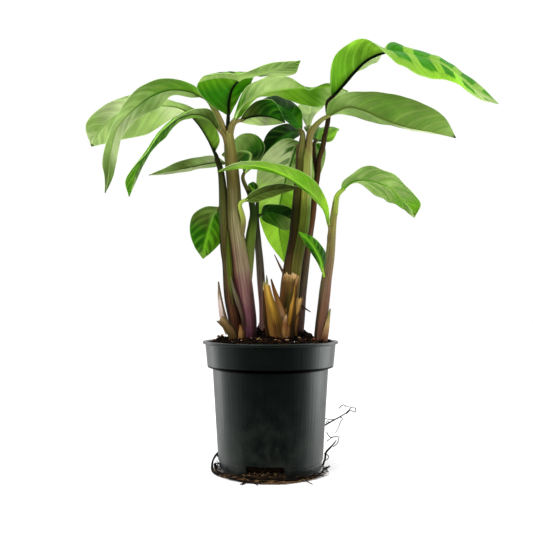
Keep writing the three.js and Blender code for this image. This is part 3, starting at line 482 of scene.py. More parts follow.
# The stations of each midrib, from petiole to tip, and of its two margins, as seen with the
# blade's upper face up and its tip ahead.
BLADES = {
    "leaf_a_left_front": {
        "rib": [[-72, -3, 390], [-84, -8, 394], [-104, -13, 394], [-123, -18, 385], [-142, -21, 369],
            [-155, -23, 353], [-162, -24, 329], [-165, -24, 300], [-168, -24, 285]],
        "left": [[-78, -18, 396], [-103, -36, 397], [-127, -43, 387], [-146, -46, 364],
            [-157, -45, 342], [-166, -40, 315], [-166, -32, 296]],
        "right": [[-83, 6, 392], [-106, 14, 397], [-120, 10, 382], [-141, 2, 368], [-156, -4, 345],
            [-160, -8, 322], [-163, -16, 300]],
    },
    "leaf_a_left_back": {
        "rib": [[-60, 10, 335], [-67, 14, 350], [-79, 20, 369], [-97, 28, 387], [-122, 34, 393],
            [-150, 39, 393], [-175, 42, 383], [-192, 40, 365], [-199, 36, 348]],
        "left": [[-54, 6, 346], [-63, 10, 368], [-87, 16, 386], [-115, 20, 395], [-146, 22, 401],
            [-179, 22, 390], [-202, 25, 369]],
        "right": [[-66, 20, 350], [-78, 32, 370], [-98, 46, 388], [-120, 56, 380], [-142, 62, 369],
            [-169, 62, 363], [-185, 52, 356]],
    },
    "leaf_a_left_narrow": {
        "rib": [[-52, -12, 351], [-63, -18, 363], [-76, -26, 365], [-92, -36, 357], [-106, -46, 340],
            [-118, -56, 319], [-128, -64, 297], [-133, -70, 273]],
        "left": [[-59, -28, 367], [-72, -42, 365], [-87, -54, 354], [-103, -66, 336], [-115, -76, 313],
            [-134, -80, 287]],
        "right": [[-62, -2, 363], [-77, -2, 368], [-93, -8, 363], [-107, -22, 342], [-118, -38, 324],
            [-127, -50, 300]],
    },
    "leaf_a_low_back": {
        "rib": [[-49, 26, 327], [-63, 34, 330], [-79, 38, 328], [-97, 42, 325], [-115, 44, 322],
            [-137, 45, 318]],
        "left": [[-59, 20, 333], [-77, 22, 333], [-96, 25, 330], [-117, 32, 323]],
        "right": [[-64, 50, 328], [-81, 58, 328], [-99, 60, 325], [-120, 56, 321]],
    },
    "leaf_a_top": {
        "rib": [[-44, -5, 370], [-43, -9, 383], [-39, -16, 394], [-28, -30, 399], [-12, -40, 399],
            [8, -48, 402], [29, -52, 408]],
        "left": [[-37, -4, 380], [-29, -8, 393], [-17, -16, 404], [-5, -26, 402], [23, -38, 400]],
        "right": [[-61, -12, 378], [-75, -22, 392], [-65, -34, 401], [-36, -46, 398], [9, -56, 405]],
    },
    "leaf_a_right_over": {
        "rib": [[-39, -9, 362], [-32, -7, 376], [-21, -4, 387], [-3, 0, 396], [21, 5, 401],
            [44, 11, 404], [66, 15, 407], [84, 18, 403]],
        "left": [[-28, 2, 374], [-17, 10, 390], [2, 18, 399], [24, 25, 394], [49, 30, 390],
            [70, 27, 395]],
        "right": [[-35, -14, 375], [-26, -18, 393], [-5, -16, 405], [20, -12, 407], [39, -4, 397],
            [61, 4, 407]],
    },
    "leaf_a_right_under": {
        "rib": [[-32, -5, 364], [-23, -1, 369], [-11, 4, 372], [2, 9, 372], [16, 14, 368]],
        "left": [[-23, 10, 365], [-11, 18, 366], [2, 21, 367]],
        "right": [[-25, -14, 373], [-13, -17, 381], [3, -8, 384]],
    },
    "leaf_a_middle": {
        "rib": [[-26, -20, 278], [-18, -24, 282], [-7, -26, 286], [7, -27, 289], [18, -26, 290],
            [28, -25, 291]],
        "left": [[-18, -14, 277], [-6, -15, 280], [8, -16, 285], [21, -20, 288]],
        "right": [[-18, -32, 285], [-6, -38, 289], [8, -37, 292], [20, -30, 292]],
    },
    "leaf_a_inner": {
        "rib": [[-28, 16, 314], [-24, 21, 326], [-22, 26, 337], [-29, 30, 341], [-40, 32, 341],
            [-54, 34, 338]],
        "left": [[-17, 24, 324], [-6, 34, 347], [-16, 36, 361], [-32, 34, 361]],
        "right": [[-31, 17, 323], [-32, 20, 328], [-35, 24, 326], [-44, 28, 328]],
    },
    "leaf_a_low_round": {
        "rib": [[-55, 12, 276], [-61, 11, 269], [-65, 10, 258], [-68, 9, 246], [-71, 9, 234],
            [-72, 8, 221]],
        "left": [[-51, 14, 266], [-49, 13, 253], [-52, 12, 241], [-63, 10, 228]],
        "right": [[-70, 12, 277], [-83, 10, 268], [-86, 7, 251], [-81, 6, 234]],
    },
    "leaf_b_left": {
        "rib": [[32, -2, 354], [28, 8, 365], [21, 20, 379], [9, 30, 391], [-3, 38, 399],
            [-21, 44, 396]],
        "left": [[24, 12, 363], [13, 26, 376], [2, 36, 387], [-10, 42, 392]],
        "right": [[34, 6, 368], [33, 18, 382], [22, 34, 398], [4, 42, 407]],
    },
    "leaf_b_back_high": {
        "rib": [[41, 14, 362], [42, 26, 375], [44, 42, 389], [47, 66, 407]],
        "left": [[36, 26, 374], [30, 42, 394]],
        "right": [[48, 28, 379], [60, 46, 397]],
    },
    "leaf_b_right_top": {
        "rib": [[63, -17, 384], [71, -19, 392], [83, -23, 405], [96, -27, 417], [109, -30, 423],
            [122, -33, 425], [137, -36, 422], [152, -38, 417], [168, -38, 412], [184, -38, 401],
            [204, -38, 384], [226, -38, 371]],
        "left": [[79, -8, 401], [91, -6, 415], [104, -8, 421], [112, -13, 425], [121, -19, 439],
            [136, -22, 435], [155, -24, 428], [171, -26, 422], [187, -28, 411], [208, -32, 393]],
        "right": [[60, -30, 398], [62, -42, 415], [77, -50, 426], [92, -53, 429], [116, -55, 409],
            [130, -55, 401], [146, -53, 392], [163, -50, 391], [181, -46, 389], [204, -42, 375]],
    },
    "leaf_b_right_middle": {
        "rib": [[57, -25, 362], [66, -30, 366], [78, -32, 370], [94, -33, 366], [114, -33, 357],
            [138, -30, 350], [164, -27, 346], [188, -24, 341]],
        "left": [[70, -18, 367], [85, -8, 368], [104, -3, 364], [125, -2, 360], [147, -6, 354],
            [171, -16, 347]],
        "right": [[58, -42, 371], [72, -52, 377], [94, -58, 376], [117, -60, 373], [144, -55, 367],
            [171, -42, 357]],
    },
    "leaf_b_back_low": {
        "rib": [[48, 7, 346], [52, 17, 354], [55, 31, 365], [57, 48, 372], [60, 64, 373],
            [62, 78, 370]],
        "left": [[42, 15, 354], [37, 29, 366], [39, 46, 372], [48, 62, 373]],
        "right": [[66, 18, 349], [75, 33, 366], [77, 48, 369], [70, 62, 367]],
    },
    "leaf_b_hanging": {
        "rib": [[40, 14, 343], [31, 30, 349], [22, 36, 327], [14, 38, 300], [9, 38, 273], [11, 36, 244],
            [16, 34, 218]],
        "left": [[15, 27, 354], [-11, 34, 332], [-16, 40, 307], [-14, 44, 276], [-4, 44, 246]],
        "right": [[59, 31, 349], [61, 34, 336], [53, 36, 311], [38, 38, 280], [26, 38, 246]],
    },
    "leaf_b_back_arch": {
        "rib": [[32, 10, 356], [23, 34, 363], [9, 50, 359], [-4, 56, 347], [-17, 60, 332]],
        "left": [[31, 28, 357], [17, 48, 352], [4, 54, 337]],
        "right": [[17, 38, 374], [-2, 52, 369], [-11, 58, 351]],
    },
    "leaf_c_left_arch": {
        "rib": [[60, -12, 255], [56, -20, 266], [46, -32, 279], [32, -44, 288], [14, -54, 297],
            [-8, -62, 303], [-29, -68, 303], [-50, -72, 296]],
        "left": [[58, -30, 271], [48, -46, 287], [33, -60, 297], [13, -72, 302], [-10, -80, 304],
            [-30, -80, 303]],
        "right": [[56, -12, 267], [46, -20, 277], [32, -30, 288], [15, -40, 297], [-8, -50, 302],
            [-27, -58, 302]],
    },
    "leaf_c_right": {
        "rib": [[74, -8, 290], [80, -10, 296], [87, -13, 300], [96, -16, 300], [109, -19, 297],
            [123, -22, 290], [133, -24, 279], [142, -24, 269], [146, -24, 260]],
        "left": [[83, -7, 296], [91, -4, 299], [103, 0, 293], [117, 4, 285], [127, 2, 280],
            [136, -4, 273], [142, -12, 267]],
        "right": [[74, -15, 298], [82, -23, 303], [92, -34, 309], [108, -43, 307], [124, -48, 295],
            [139, -46, 281], [149, -38, 272]],
    },
    "leaf_c_low_left": {
        "rib": [[54, -14, 206], [51, -20, 217], [44, -27, 229], [36, -33, 238], [28, -38, 244]],
        "left": [[48, -20, 214], [39, -27, 227], [32, -34, 237]],
        "right": [[57, -16, 223], [51, -24, 233], [42, -31, 240]],
    },
    "leaf_d_right": {
        "rib": [[-10, 12, 268], [-4, 15, 272], [6, 18, 272], [18, 21, 268], [33, 24, 260]],
        "left": [[-8, 24, 264], [3, 29, 259], [17, 30, 254]],
        "right": [[-7, 9, 278], [8, 10, 279], [22, 15, 276]],
    },
    "leaf_d_young": {
        "rib": [[-16, 17, 288], [-18, 19, 295], [-21, 20, 299], [-24, 20, 303]],
        "left": [[-14, 22, 302], [-19, 23, 306]],
        "right": [[-21, 16, 294], [-24, 17, 298]],
    },
}

BLADE_NECK = 1.7  # half the blade's width where it leaves its petiole
BLADE_TIP = 0.5
BLADE_CAMBER = 0.1  # rise of each half between midrib and margin, per unit of width
RIB_DEPTH = (0.1, 1.3)  # how far the midrib stands out below at the tip, and what it gains
RIB_GROOVE = 0.4  # depth of the groove above it, as a share of that
RIB_SPREAD = (0.45, 0.95)  # half the midrib's width at the tip, and what it gains at the neck
BLADE_HALF = (0.34, 0.14)  # half the blade's thickness at the midrib and at the margin
ROW_STEP = 1.7
FEWEST_ROWS = 26
HALF_COLUMNS = 18
COLUMN_POWER = 1.7  # crowds the columns towards the midrib
PLEAT = 0.3  # height of the low pleats along the lateral veins
PLEAT_PERIOD = 11.5
RIPPLE = 0.55  # height of the margin's ripple
RIPPLE_PERIODS = (19, 31, 53)
RUFFLES = {"leaf_a_top": 3, "leaf_c_right": 2.2, "leaf_a_right_over": 1.6, "leaf_b_right_top": 1.6}
VEIN_LEAN = 0.6  # how far a lateral vein runs forward for each step outward
VEIN_SWEEP = 0.5  # how much more it does so at the margin


def margin_stations(rib, margin):
    """A margin's stations with its ends, just beside the midrib's."""
    rib = np.array(rib, float)
    margin = np.array(margin, float)
    forward = unit(rib[1] - rib[0])
    backward = unit(rib[-2] - rib[-1])
    at_neck = margin[0] - rib[1]
    at_neck = unit(at_neck - forward * at_neck.dot(forward)) * BLADE_NECK
    at_tip = margin[-1] - rib[-2]
    at_tip = unit(at_tip - backward * at_tip.dot(backward)) * BLADE_TIP
    return np.vstack([rib[0] + at_neck, margin, rib[-1] + at_tip])


def margin_ripple(length, draw, height):
    """A seeded ripple along a margin."""
    ripple = np.zeros_like(length)
    for period in RIPPLE_PERIODS:
        ripple += np.sin(2 * math.pi * length / period + draw.uniform(0, 2 * math.pi))
    return height * ripple / len(RIPPLE_PERIODS)


def blade_piece(name, upper_paint, under_paint):
    """A blade lofted from its midrib to both margins, with a closed upper and under face.

    Its first map holds the place along the lateral veins and the distance from the midrib in
    metres, and its second the shares of its length and width.
    """
    stations = BLADES[name]
    rib = Spline(stations["rib"])
    margins = [Spline(margin_stations(stations["rib"], stations[side])) for side in ("left", "right")]
    rows = max(FEWEST_ROWS, round(rib.length / ROW_STEP))
    shares = rib.even_shares(rows)
    middle = rib.at(shares)
    tangent = rib.tangents(shares)
    spans = [margin.at(shares) - middle for margin in margins]
    normals = [unit(np.cross(tangent, spans[0])), unit(np.cross(spans[1], tangent))]
    length = rib.length_at(shares)[:, None]
    swell = np.sin(math.pi * shares)[:, None]
    draw = random.Random(name)

    columns = np.linspace(-1, 1, 2 * HALF_COLUMNS + 1)
    column = np.sign(columns) * np.abs(columns) ** COLUMN_POWER
    reach = np.abs(column)[None, :]
    is_left = (column < 0)[None, :, None]
    span = np.where(is_left, spans[0][:, None], spans[1][:, None])
    lean = ((column + 1) / 2)[None, :, None]
    normal = unit(normals[0][:, None] * (1 - lean) + normals[1][:, None] * lean)
    width = np.linalg.norm(span, axis=2)
    beside = width * reach
    vein = length - VEIN_LEAN * beside - VEIN_SWEEP * beside * reach

    ripples = [margin_ripple(length, draw, RUFFLES.get(name, RIPPLE)) for _ in range(2)]
    ripple = np.where(is_left[..., 0], ripples[0], ripples[1])
    rise = BLADE_CAMBER * width * 4 * reach * (1 - reach) * swell
    rise = rise + ripple * reach**3 * swell
    pleat = PLEAT * np.sin(2 * math.pi * vein / PLEAT_PERIOD)
    rise = rise + pleat * np.sqrt(reach) * (1 - reach**4) * swell

    taper = 1 - shares[:, None]
    spread = RIB_SPREAD[0] + RIB_SPREAD[1] * taper
    ridge = (RIB_DEPTH[0] + RIB_DEPTH[1] * taper) * np.exp(-((beside / spread) ** 2))
    half = BLADE_HALF[0] + (BLADE_HALF[1] - BLADE_HALF[0]) * reach
    base = middle[:, None] + span * reach[..., None]
    upper = base + normal * (rise + half - RIB_GROOVE * ridge)[..., None]
    under = base + normal * (rise - half - ridge)[..., None]

    points, faces, sides = shell(upper, under)
    signed = np.where(column < 0, -1, 1)[None, :] * beside
    vein_map = np.stack([vein * MM, signed * MM], axis=2).reshape(-1, 2)
    share_map = np.stack(np.broadcast_arrays(shares[:, None], (column[None, :] + 1) / 2), axis=2)
    share_map = share_map.reshape(-1, 2)
    shape = Shape()
    shape.add(points, faces, sides, np.tile(vein_map, (2, 1)), np.tile(share_map, (2, 1)))
    shape.piece(name.replace("leaf", "blade"), [upper_paint, under_paint], [name],
                map_names=("vein", "share"))


# Colours of the blades, named for where they show.
GREENS = {
    "ink": "#060c02",
    "bottle": "#0a2a02",
    "forest": "#143e02",
    "deep": "#235603",
    "emerald": "#246406",
    "leaf": "#3a7008",
    "fern": "#4e8410",
    "patch": "#2e7604",
    "grass": "#5c921a",
    "hedge": "#648830",
    "pea": "#709c2c",
    "lime": "#7cb426",
    "bright": "#98d034",
    "young": "#b0dc5c",
    "straw": "#bed092",
    "pale": "#a6c072",
    "mint": "#8dab5a",
    "ash": "#8a9868",
    "sage": "#74904a",
    "moss": "#5a7630",
    "meadow": "#4e6e26",
    "olive": "#42561a",
    "umber": "#2c3a0c",
    "bark": "#24200c",
}


@dataclass
class Look:
    """How one face of a blade is coloured.

    left and right name the colours of its halves from base to tip, and rib those of its midrib. A
    bar in them marks a painted fold, where the colours change at once: painted shade on one side and
    painted light on the other, where the real blade turns over, though the mesh is not folded there.
    Periods and starts are in millimetres along the midrib, and the other numbers are shares.
    """

    left: str
    right: str
    rib: str = "moss"
    dark: str = "deep"  # the colour of the stripes
    tip: str = "umber"
    edge: str = "straw"
    stripes: tuple = (0.1,)  # their strength from base to tip
    right_stripes: tuple = None  # the same on the right half, if it differs
    period: float = 12.5  # from one stripe to the next
    start: float = 0.0  # how far the first stripe is moved
    duty: float = 0.0  # how much broader the stripes are than the gaps
    feather: float = 0.4  # how soft their sides are
    wander: float = 1.6  # how far they stray from the veins
    one_way: float = 0.0  # their lean, if they cross the midrib without turning
    stripe_end: float = 0.88  # how far out they reach
    left_stripe_end: float = None
    streaks: float = 0.07  # the strength of the pale streaks along the veins
    rib_width: float = 1.0
    rib_shows: tuple = (1, 1)  # how much of the midrib shows, from base to tip
    fold: float = 0.5  # where the painted fold lies, with painted shade on one side and painted light on the other
    painted_fold_slant: float = 0.0  # how far the painted fold lies askew


PAINTED_FOLD_HALF = 0.008  # half the length in which the colours change at a painted fold


def color_places(names, fold):
    """The colours that a text names, and their places from 0 to 1."""
    parts = [part.split() for part in names.split("|")]
    ends = [0, 1] if len(parts) == 1 else [0, fold - PAINTED_FOLD_HALF, fold + PAINTED_FOLD_HALF, 1]
    colors, places = [], []
    for index, part in enumerate(parts):
        start, end = ends[2 * index : 2 * index + 2]
        colors += [GREENS[color] for color in part]
        places += [start + (end - start) * step / max(1, len(part) - 1) for step in range(len(part))]
    return colors, places


UPPER = Look(
    "lime grass lime", "lime grass lime", dark="bottle", stripes=(0.5, 0.95, 0.9), rib="young",
    tip="leaf", feather=0.25)
UNDER = Look("sage mint sage", "sage mint sage", dark="olive", stripes=(0.15, 0.25, 0.15))

# The face of each blade that the plant shows to its front. The other face has a plain look.
LOOKS = {
    "leaf_a_left_front": ("under", Look(
        "bright grass hedge mint pale mint moss umber", "umber mint pale sage straw straw moss umber",
        dark="leaf", stripes=(0.1, 0.35, 0.45, 0.25, 0.1, 0.1, 0.1),
        right_stripes=(0, 0.1, 0.35, 0.4, 0.1, 0.1, 0), rib="olive deep sage pale", tip="ink",
        period=15)),
    "leaf_a_left_back": ("under", Look(
        "ink pea moss mint pale straw mint straw", "bright young young straw mint mint pale pale",
        dark="moss", stripes=(0.05, 0.05, 0.15, 0.4), rib="ink ink moss mint mint", tip="olive",
        period=14)),
    "leaf_a_left_narrow": ("under", Look(
        "olive olive sage sage fern deep fern leaf", "olive hedge pea hedge leaf leaf moss mint",
        dark="forest", stripes=(0.1, 0.2, 0.7, 0.7, 0.3), rib="umber umber bottle deep deep",
        tip="leaf", edge="sage")),
    "leaf_a_low_back": ("under", Look(
        "bottle ash sage olive moss olive", "grass sage ash ash ash ash", dark="olive",
        stripes=(0.1, 0.2, 0.3), rib="umber umber moss", tip="bark", edge="ash")),
    # before its painted fold both halves and the midrib are dark as painted shade, and after it pale as
    # painted light, where the blade turns over
    "leaf_a_top": ("under", Look(
        "lime grass patch leaf | pale sage pale sage pea",
        "fern deep emerald fern | mint mint sage sage mint", dark="deep",
        stripes=(0.4, 0.4, 0.3, 0.05, 0.05, 0.4, 1), fold=0.45, painted_fold_slant=0.05,
        rib="ink ink ink | mint mint sage umber", rib_width=1.5, tip="leaf", period=9)),
    "leaf_a_right_over": ("under", Look(
        "grass lime young young lime grass mint straw", "patch fern sage pale pale lime pea mint",
        dark="emerald", stripes=(0.1, 0.3, 0.05, 0.05, 0.2, 0.2, 0.1),
        right_stripes=(0.3, 0.95, 0.4, 0, 0, 0.3, 0.2), rib="pale mint lime lime", tip="grass",
        period=11)),
    # its right half's dark colours are painted shade, cast by the blade above it
    "leaf_a_right_under": ("under", Look(
        "straw pale pale ash mint sage", "bark olive umber forest emerald forest", dark="bottle",
        stripes=(0.1, 0.1, 0.1), right_stripes=(0.1, 0.3, 0.6, 0.8), rib="ink ink bottle",
        rib_width=1.5, tip="deep", period=9)),
    "leaf_a_middle": ("under", Look(
        "moss olive olive olive bark", "olive olive umber umber bark", dark="bark",
        stripes=(0.1, 0.2, 0.3), rib="umber bark", tip="umber", edge="sage")),
    "leaf_a_inner": ("under", Look(
        "moss moss bottle deep moss sage olive", "deep deep deep deep olive mint sage", dark="bottle",
        stripes=(0.2, 0.2, 0.1), rib="mint mint olive", tip="olive")),
    "leaf_a_low_round": ("upper", Look(
        "bottle deep leaf fern fern moss", "moss moss olive deep deep moss", dark="bottle",
        stripes=(0.3, 0.4, 0.6, 0.5), rib="sage grass grass", tip="fern", period=9.5, feather=0.7,
        wander=2.2, edge="grass")),
    # its colours darken towards the tip partly as painted shade, where the arch lies in shadow
    "leaf_b_left": ("upper", Look(
        "bottle emerald emerald forest bottle", "deep leaf emerald bottle bottle bottle", dark="bottle",
        stripes=(0.1, 0.3, 0.6, 0.6), rib="emerald", tip="bottle", edge="fern")),
    "leaf_b_back_high": ("upper", Look(
        "straw straw mint mint", "straw straw sage mint", dark="sage", stripes=(0.1, 0.2), rib="pale",
        tip="pale")),
    "leaf_b_right_top": ("under",
        Look(
            "umber pale straw pale pale young", "leaf grass bright bright bright young", dark="fern",
            stripes=(0.1, 0.2, 0.1, 0.1), right_stripes=(0.1, 0.3, 0.3, 0.2, 0.1), rib="ink ink ink",
            rib_width=2.0, tip="sage", wander=0.7, streaks=0.2),
        Look(
            "pea pea pea pea pea sage", "pea pea pea pea lime ash", dark="patch",
            stripes=(1, 1, 1, 1, 1, 0.8), rib="lime lime mint ash", rib_width=0.6, tip="sage",
            period=26, feather=0.12, wander=0.25, rib_shows=(0, 0, 0, 0, 1, 1), stripe_end=0.68,
            left_stripe_end=1.2, duty=0.3, one_way=0.4, start=74)),
    "leaf_b_right_middle": ("under", Look(
        "moss mint sage sage sage straw straw straw", "moss moss sage moss meadow moss moss sage",
        dark="leaf", stripes=(0, 0.1, 0.1, 0.1), right_stripes=(0.05, 0.15, 0.2, 0.25, 0.15),
        rib="olive olive olive moss", rib_width=1.3, tip="bark", period=16, edge="umber")),
    "leaf_b_back_low": ("upper", Look(
        "bottle leaf grass sage", "bark lime lime mint", dark="forest", stripes=(0.3, 0.5, 0.2),
        rib="grass", tip="mint")),
    "leaf_b_hanging": ("under", Look(
        "moss sage straw pale young bright bright bright", "moss moss sage mint lime lime lime lime",
        dark="deep", stripes=(0.8, 0.95, 0.5, 0, 0, 0), left_stripe_end=0.5,
        right_stripes=(0.9, 0.95, 0.5, 0.1, 0.1, 0.1), rib="deep deep leaf lime", tip="lime",
        edge="pale")),
    # its dark greens are painted shade, where it lies in shadow behind leaf_b_hanging and stem b
    "leaf_b_back_arch": ("upper", Look(
        "deep deep forest", "bottle bottle bottle", dark="ink", stripes=(0.3, 0.4, 0.4), rib="deep",
        tip="bottle", edge="deep")),
    "leaf_c_left_arch": ("under", Look(
        "moss bright pea grass pea pea sage olive", "bright bright pea leaf fern fern pea olive",
        dark="leaf", stripes=(0.05, 0.15, 0.2, 0.2, 0.1), rib="grass pea lime pea", tip="grass",
        edge="pea")),
    "leaf_c_right": ("under", Look(
        "young pale pale mint mint grass moss sage", "grass sage mint sage mint sage grass olive",
        dark="fern", stripes=(0.05, 0.3, 0.5, 0.45, 0.3), rib="fern leaf fern pea pale", tip="sage",
        period=14, feather=0.7, edge="moss")),
    "leaf_c_low_left": ("upper", Look(
        "mint deep forest deep leaf leaf", "bottle forest deep leaf leaf leaf", dark="bottle",
        stripes=(0.2, 0.7, 0.8, 0.4), rib="grass fern", tip="deep", period=8, edge="grass")),
    # its dark greens are mostly painted shade, where it lies deep among the stems
    "leaf_d_right": ("under", Look(
        "deep deep deep moss pale", "forest bottle forest bottle ink", dark="bottle",
        stripes=(0.1, 0.2, 0.2), rib="forest bottle", tip="ink", edge="sage")),
    "leaf_d_young": ("under", Look(
        "moss bottle forest deep", "moss umber forest", dark="bottle", stripes=(0.3, 0.3), rib="grass",
        tip="deep")),
}

LEAF_SPECULAR = 0.05
UPPER_ROUGHNESS = 0.42
UNDER_ROUGHNESS = 0.55
FINE_VEIN_PERIOD = 1.15
VEIN_BUMP = 0.00014
BLOTCH_SCALE = 38
WANDER_SCALES = (60.0, 25.0)
GRAIN_SCALES = (900.0, 90.0)
STREAK_SCALES = (260.0, 28.0)
COLOR_WANDER = 0.1  # how far the colours along a half stray from their places
PAINTED_FOLD_WANDER = 0.012  # the same on a blade with a painted fold
RIB_GAP = (0.0012, 0.004)  # the stripes begin between these distances from the midrib, in metres
STRIPE_FRAY = 0.5  # how raggedly they end, as a share of the half's width
STRIPE_FADE = 0.08
FINE_SHADE = 0.03  # how much each part of the surface darkens or lightens the blade
GRAIN_SHADE = 0.3
STREAK_SHADE = 0.5
BLOTCH_SHADE = (1.0, 0.42)  # a factor, and the shade where there is no blotch; the blotches darken and lighten the blade partly as painted light and shade of a wavy surface
EDGE_LINE = 0.035  # the line along the margin, as a share of the half's width
EDGE_STRENGTH = 0.5
RIB_LINE = (0.0015, -0.0011)  # half the midrib's width at the base, and what it gains to the tip
RIB_SIDES = (1.15, 0.6)  # where the midrib's colour begins and is full, in half widths
# the halo is a soft painted shade along both sides of the midrib
RIB_HALO = (3.2, 0.9)
HALO_STRENGTH = 0.35
TIP_START = (0.965, 0.995)


class BladePaint(Paint):
    """The paint of one face of a blade, laid out by the blade's two maps."""

    def __init__(self, name, look, roughness):
        super().__init__(name, {"Roughness": roughness, "Specular IOR Level": LEAF_SPECULAR})
        self.look = look
        self.vein, self.signed, _ = self.split(self.uv("vein"))
        self.share, self.across, _ = self.split(self.uv("share"))
        self.reach = self.math("ABSOLUTE", self.scaled(self.across, 2.0, -1.0))
        self.beside = self.math("ABSOLUTE", self.signed)
        self.is_right = self.math("GREATER_THAN", self.signed, 0.0)
        self.blotch = self.noise(self.place(), BLOTCH_SCALE, 4)
        self.streak = self.streaks(self.vein, self.signed, STREAK_SCALES, 2)
        self.grain = self.streaks(self.vein, self.signed, GRAIN_SCALES, 3)
        self.rib_shows = self.levels(self.share, look.rib_shows)

        color = self.mix(self.stripes(), self.halves(), GREENS[look.dark])
        self.color(self.with_midrib(self.with_surface(color)))
        self.bump(self.scaled(self.streak, 3.0, self.times(self.grain, 0.5)), VEIN_BUMP)

    def halves(self):
        """Each half's own colours from base to tip, their places wandering a little."""
        look = self.look
        width = PAINTED_FOLD_WANDER if "|" in look.left else COLOR_WANDER
        place = self.plus(self.share, self.centred(self.blotch, width))
        if look.painted_fold_slant:
            place = self.plus(place, self.centred(self.across, 2 * look.painted_fold_slant))
        halves = [self.ramp(place, *color_places(half, look.fold)) for half in (look.left, look.right)]
        return self.mix(self.is_right, *halves)

    def stripes(self):
        """The strength of the dark stripes along the lateral veins."""
        look = self.look
        wander = self.streaks(self.vein, self.signed, WANDER_SCALES, 2)
        along = self.vein
        if look.one_way:
            is_left = self.math("LESS_THAN", self.signed, 0.0)
            lean = self.scaled(is_left, 2 * VEIN_LEAN - 2 * look.one_way, look.one_way)
            along = self.plus(along, self.times(self.beside, lean))
        phase = self.scaled(wander, look.wander * 2, -look.start / look.period * 2 * math.pi)
        turns = self.scaled(along, 2 * math.pi / (look.period * MM), phase)
        wave = self.plus(self.math("SINE", turns), look.duty)
        stripe = self.smooth(wave, -look.feather, look.feather)

        hidden_rib = self.math("SUBTRACT", 1.0, self.rib_shows)
        beyond_rib = self.math("MAXIMUM", self.smooth(self.beside, *RIB_GAP), hidden_rib)
        left_end = look.left_stripe_end or look.stripe_end
        end = self.scaled(self.is_right, look.stripe_end - left_end, left_end)
        from_end = self.math("SUBTRACT", self.plus(self.reach, self.centred(wander, STRIPE_FRAY)), end)
        between = self.times(beyond_rib, self.smooth(from_end, STRIPE_FADE, -STRIPE_FADE))
        strength = self.mix(self.is_right, self.levels(self.share, look.stripes),
                            self.levels(self.share, look.right_stripes or look.stripes))
        return self.times(self.times(stripe, between), strength)

    def with_surface(self, color):
        """Pale streaks, fine veins, a soft mottle that is partly painted light and shade of a wavy
        surface, and the worn margin.
        """
        pale = self.times(self.smooth(self.streak, 0.5, 0.72), self.look.streaks)
        color = self.mix(pale, color, GREENS["young"])
        turns = self.scaled(self.vein, 2 * math.pi / (FINE_VEIN_PERIOD * MM), self.times(self.blotch, 6.0))
        shade = self.scaled(self.math("SINE", turns), FINE_SHADE, self.centred(self.grain, GRAIN_SHADE))
        shade = self.plus(shade, self.centred(self.streak, STREAK_SHADE))
        # the blotches darken and lighten the blade, partly its own mottle and partly painted light and
        # shade of a wavy surface
        shade = self.plus(shade, self.scaled(self.blotch, *BLOTCH_SHADE))
        edge = self.times(self.smooth(self.reach, 1 - EDGE_LINE, 1.0), EDGE_STRENGTH)
        return self.mix(edge, self.shaded(color, shade), GREENS[self.look.edge])

    def with_midrib(self, color):
        """The midrib and the tip."""
        look = self.look
        width = self.scaled(self.share, RIB_LINE[1] * look.rib_width, RIB_LINE[0] * look.rib_width)
        from_rib = self.math("DIVIDE", self.beside, width)
        rib_color = self.ramp(self.share, *color_places(look.rib, look.fold))
        # the halo spreads the midrib's colour softly beside it, as painted shade along the midrib
        halo = self.times(self.smooth(from_rib, *RIB_HALO), HALO_STRENGTH)
        for strength in (halo, self.smooth(from_rib, *RIB_SIDES)):
            color = self.mix(self.times(strength, self.rib_shows), color, rib_color)
        return self.mix(self.smooth(self.share, *TIP_START), color, GREENS[look.tip])


def make_blades():
    """Makes every blade, with its own look on the face that shows to the plant's front."""
    for name, (seen, look, *other) in LOOKS.items():
        short = name.replace("leaf_", "")
        looks = {"upper": UPPER, "under": UNDER, seen: look}
        if other:
            looks["upper" if seen == "under" else "under"] = other[0]
        upper = BladePaint(short + "_upper", looks["upper"], UPPER_ROUGHNESS)
        under = BladePaint(short + "_under", looks["under"], UNDER_ROUGHNESS)
        blade_piece(name, upper, under)


# ---------------------------------------------------------------- stems and petioles

PETIOLE_SINK = 4  # how far a petiole runs into the midrib of the blade that it carries
PETIOLE_LEAD = 6  # how far before the blade it is in line with it
PETIOLE_NARROWING = 0.85
PETIOLE_SIDES = 16
PETIOLE_STEP = 2
PETIOLE_SEED = 1
STEM_SIDES = 28
# How many flutes run along a stem, and how deep they are as a share of its radius
STEM_FLUTES = ((2, 0.03), (3, 0.035), (7, 0.012))
PETIOLE_FLUTES = ((2, 0.05), (3, 0.02))


def petiole_end(leaf_name):
    """The last points of a petiole, in line with its blade and a little way into it."""
    rib = np.array(BLADES[leaf_name]["rib"], float)
    direction = unit(rib[1] - rib[0])
    return [rib[0] - PETIOLE_LEAD * direction, rib[0] + PETIOLE_SINK * direction]


def add_petiole(shape, path, leaf_name, radii, finish):
    """A petiole, which runs on from its path to the leaf's blade and into it."""
    whole = [*path, *petiole_end(leaf_name)]
    radii = [*radii[:-1], radii[-1] * PETIOLE_NARROWING]
    add_tube(shape, whole, radii, PETIOLE_SIDES, PETIOLE_STEP, PETIOLE_FLUTES, PETIOLE_SEED, finish)


def add_stem(shape, path, radii, finish, seed, sides=STEM_SIDES):
    add_tube(shape, path, radii, sides, TUBE_STEP, STEM_FLUTES, seed, finish)


SHEET_STEP = 1.2
SHEET_COLUMNS = 17
SHEET_TURN = 0.25  # how much of a stem's turn a sheet's map takes up on each side, so that its edges take the sides' painted light and shade
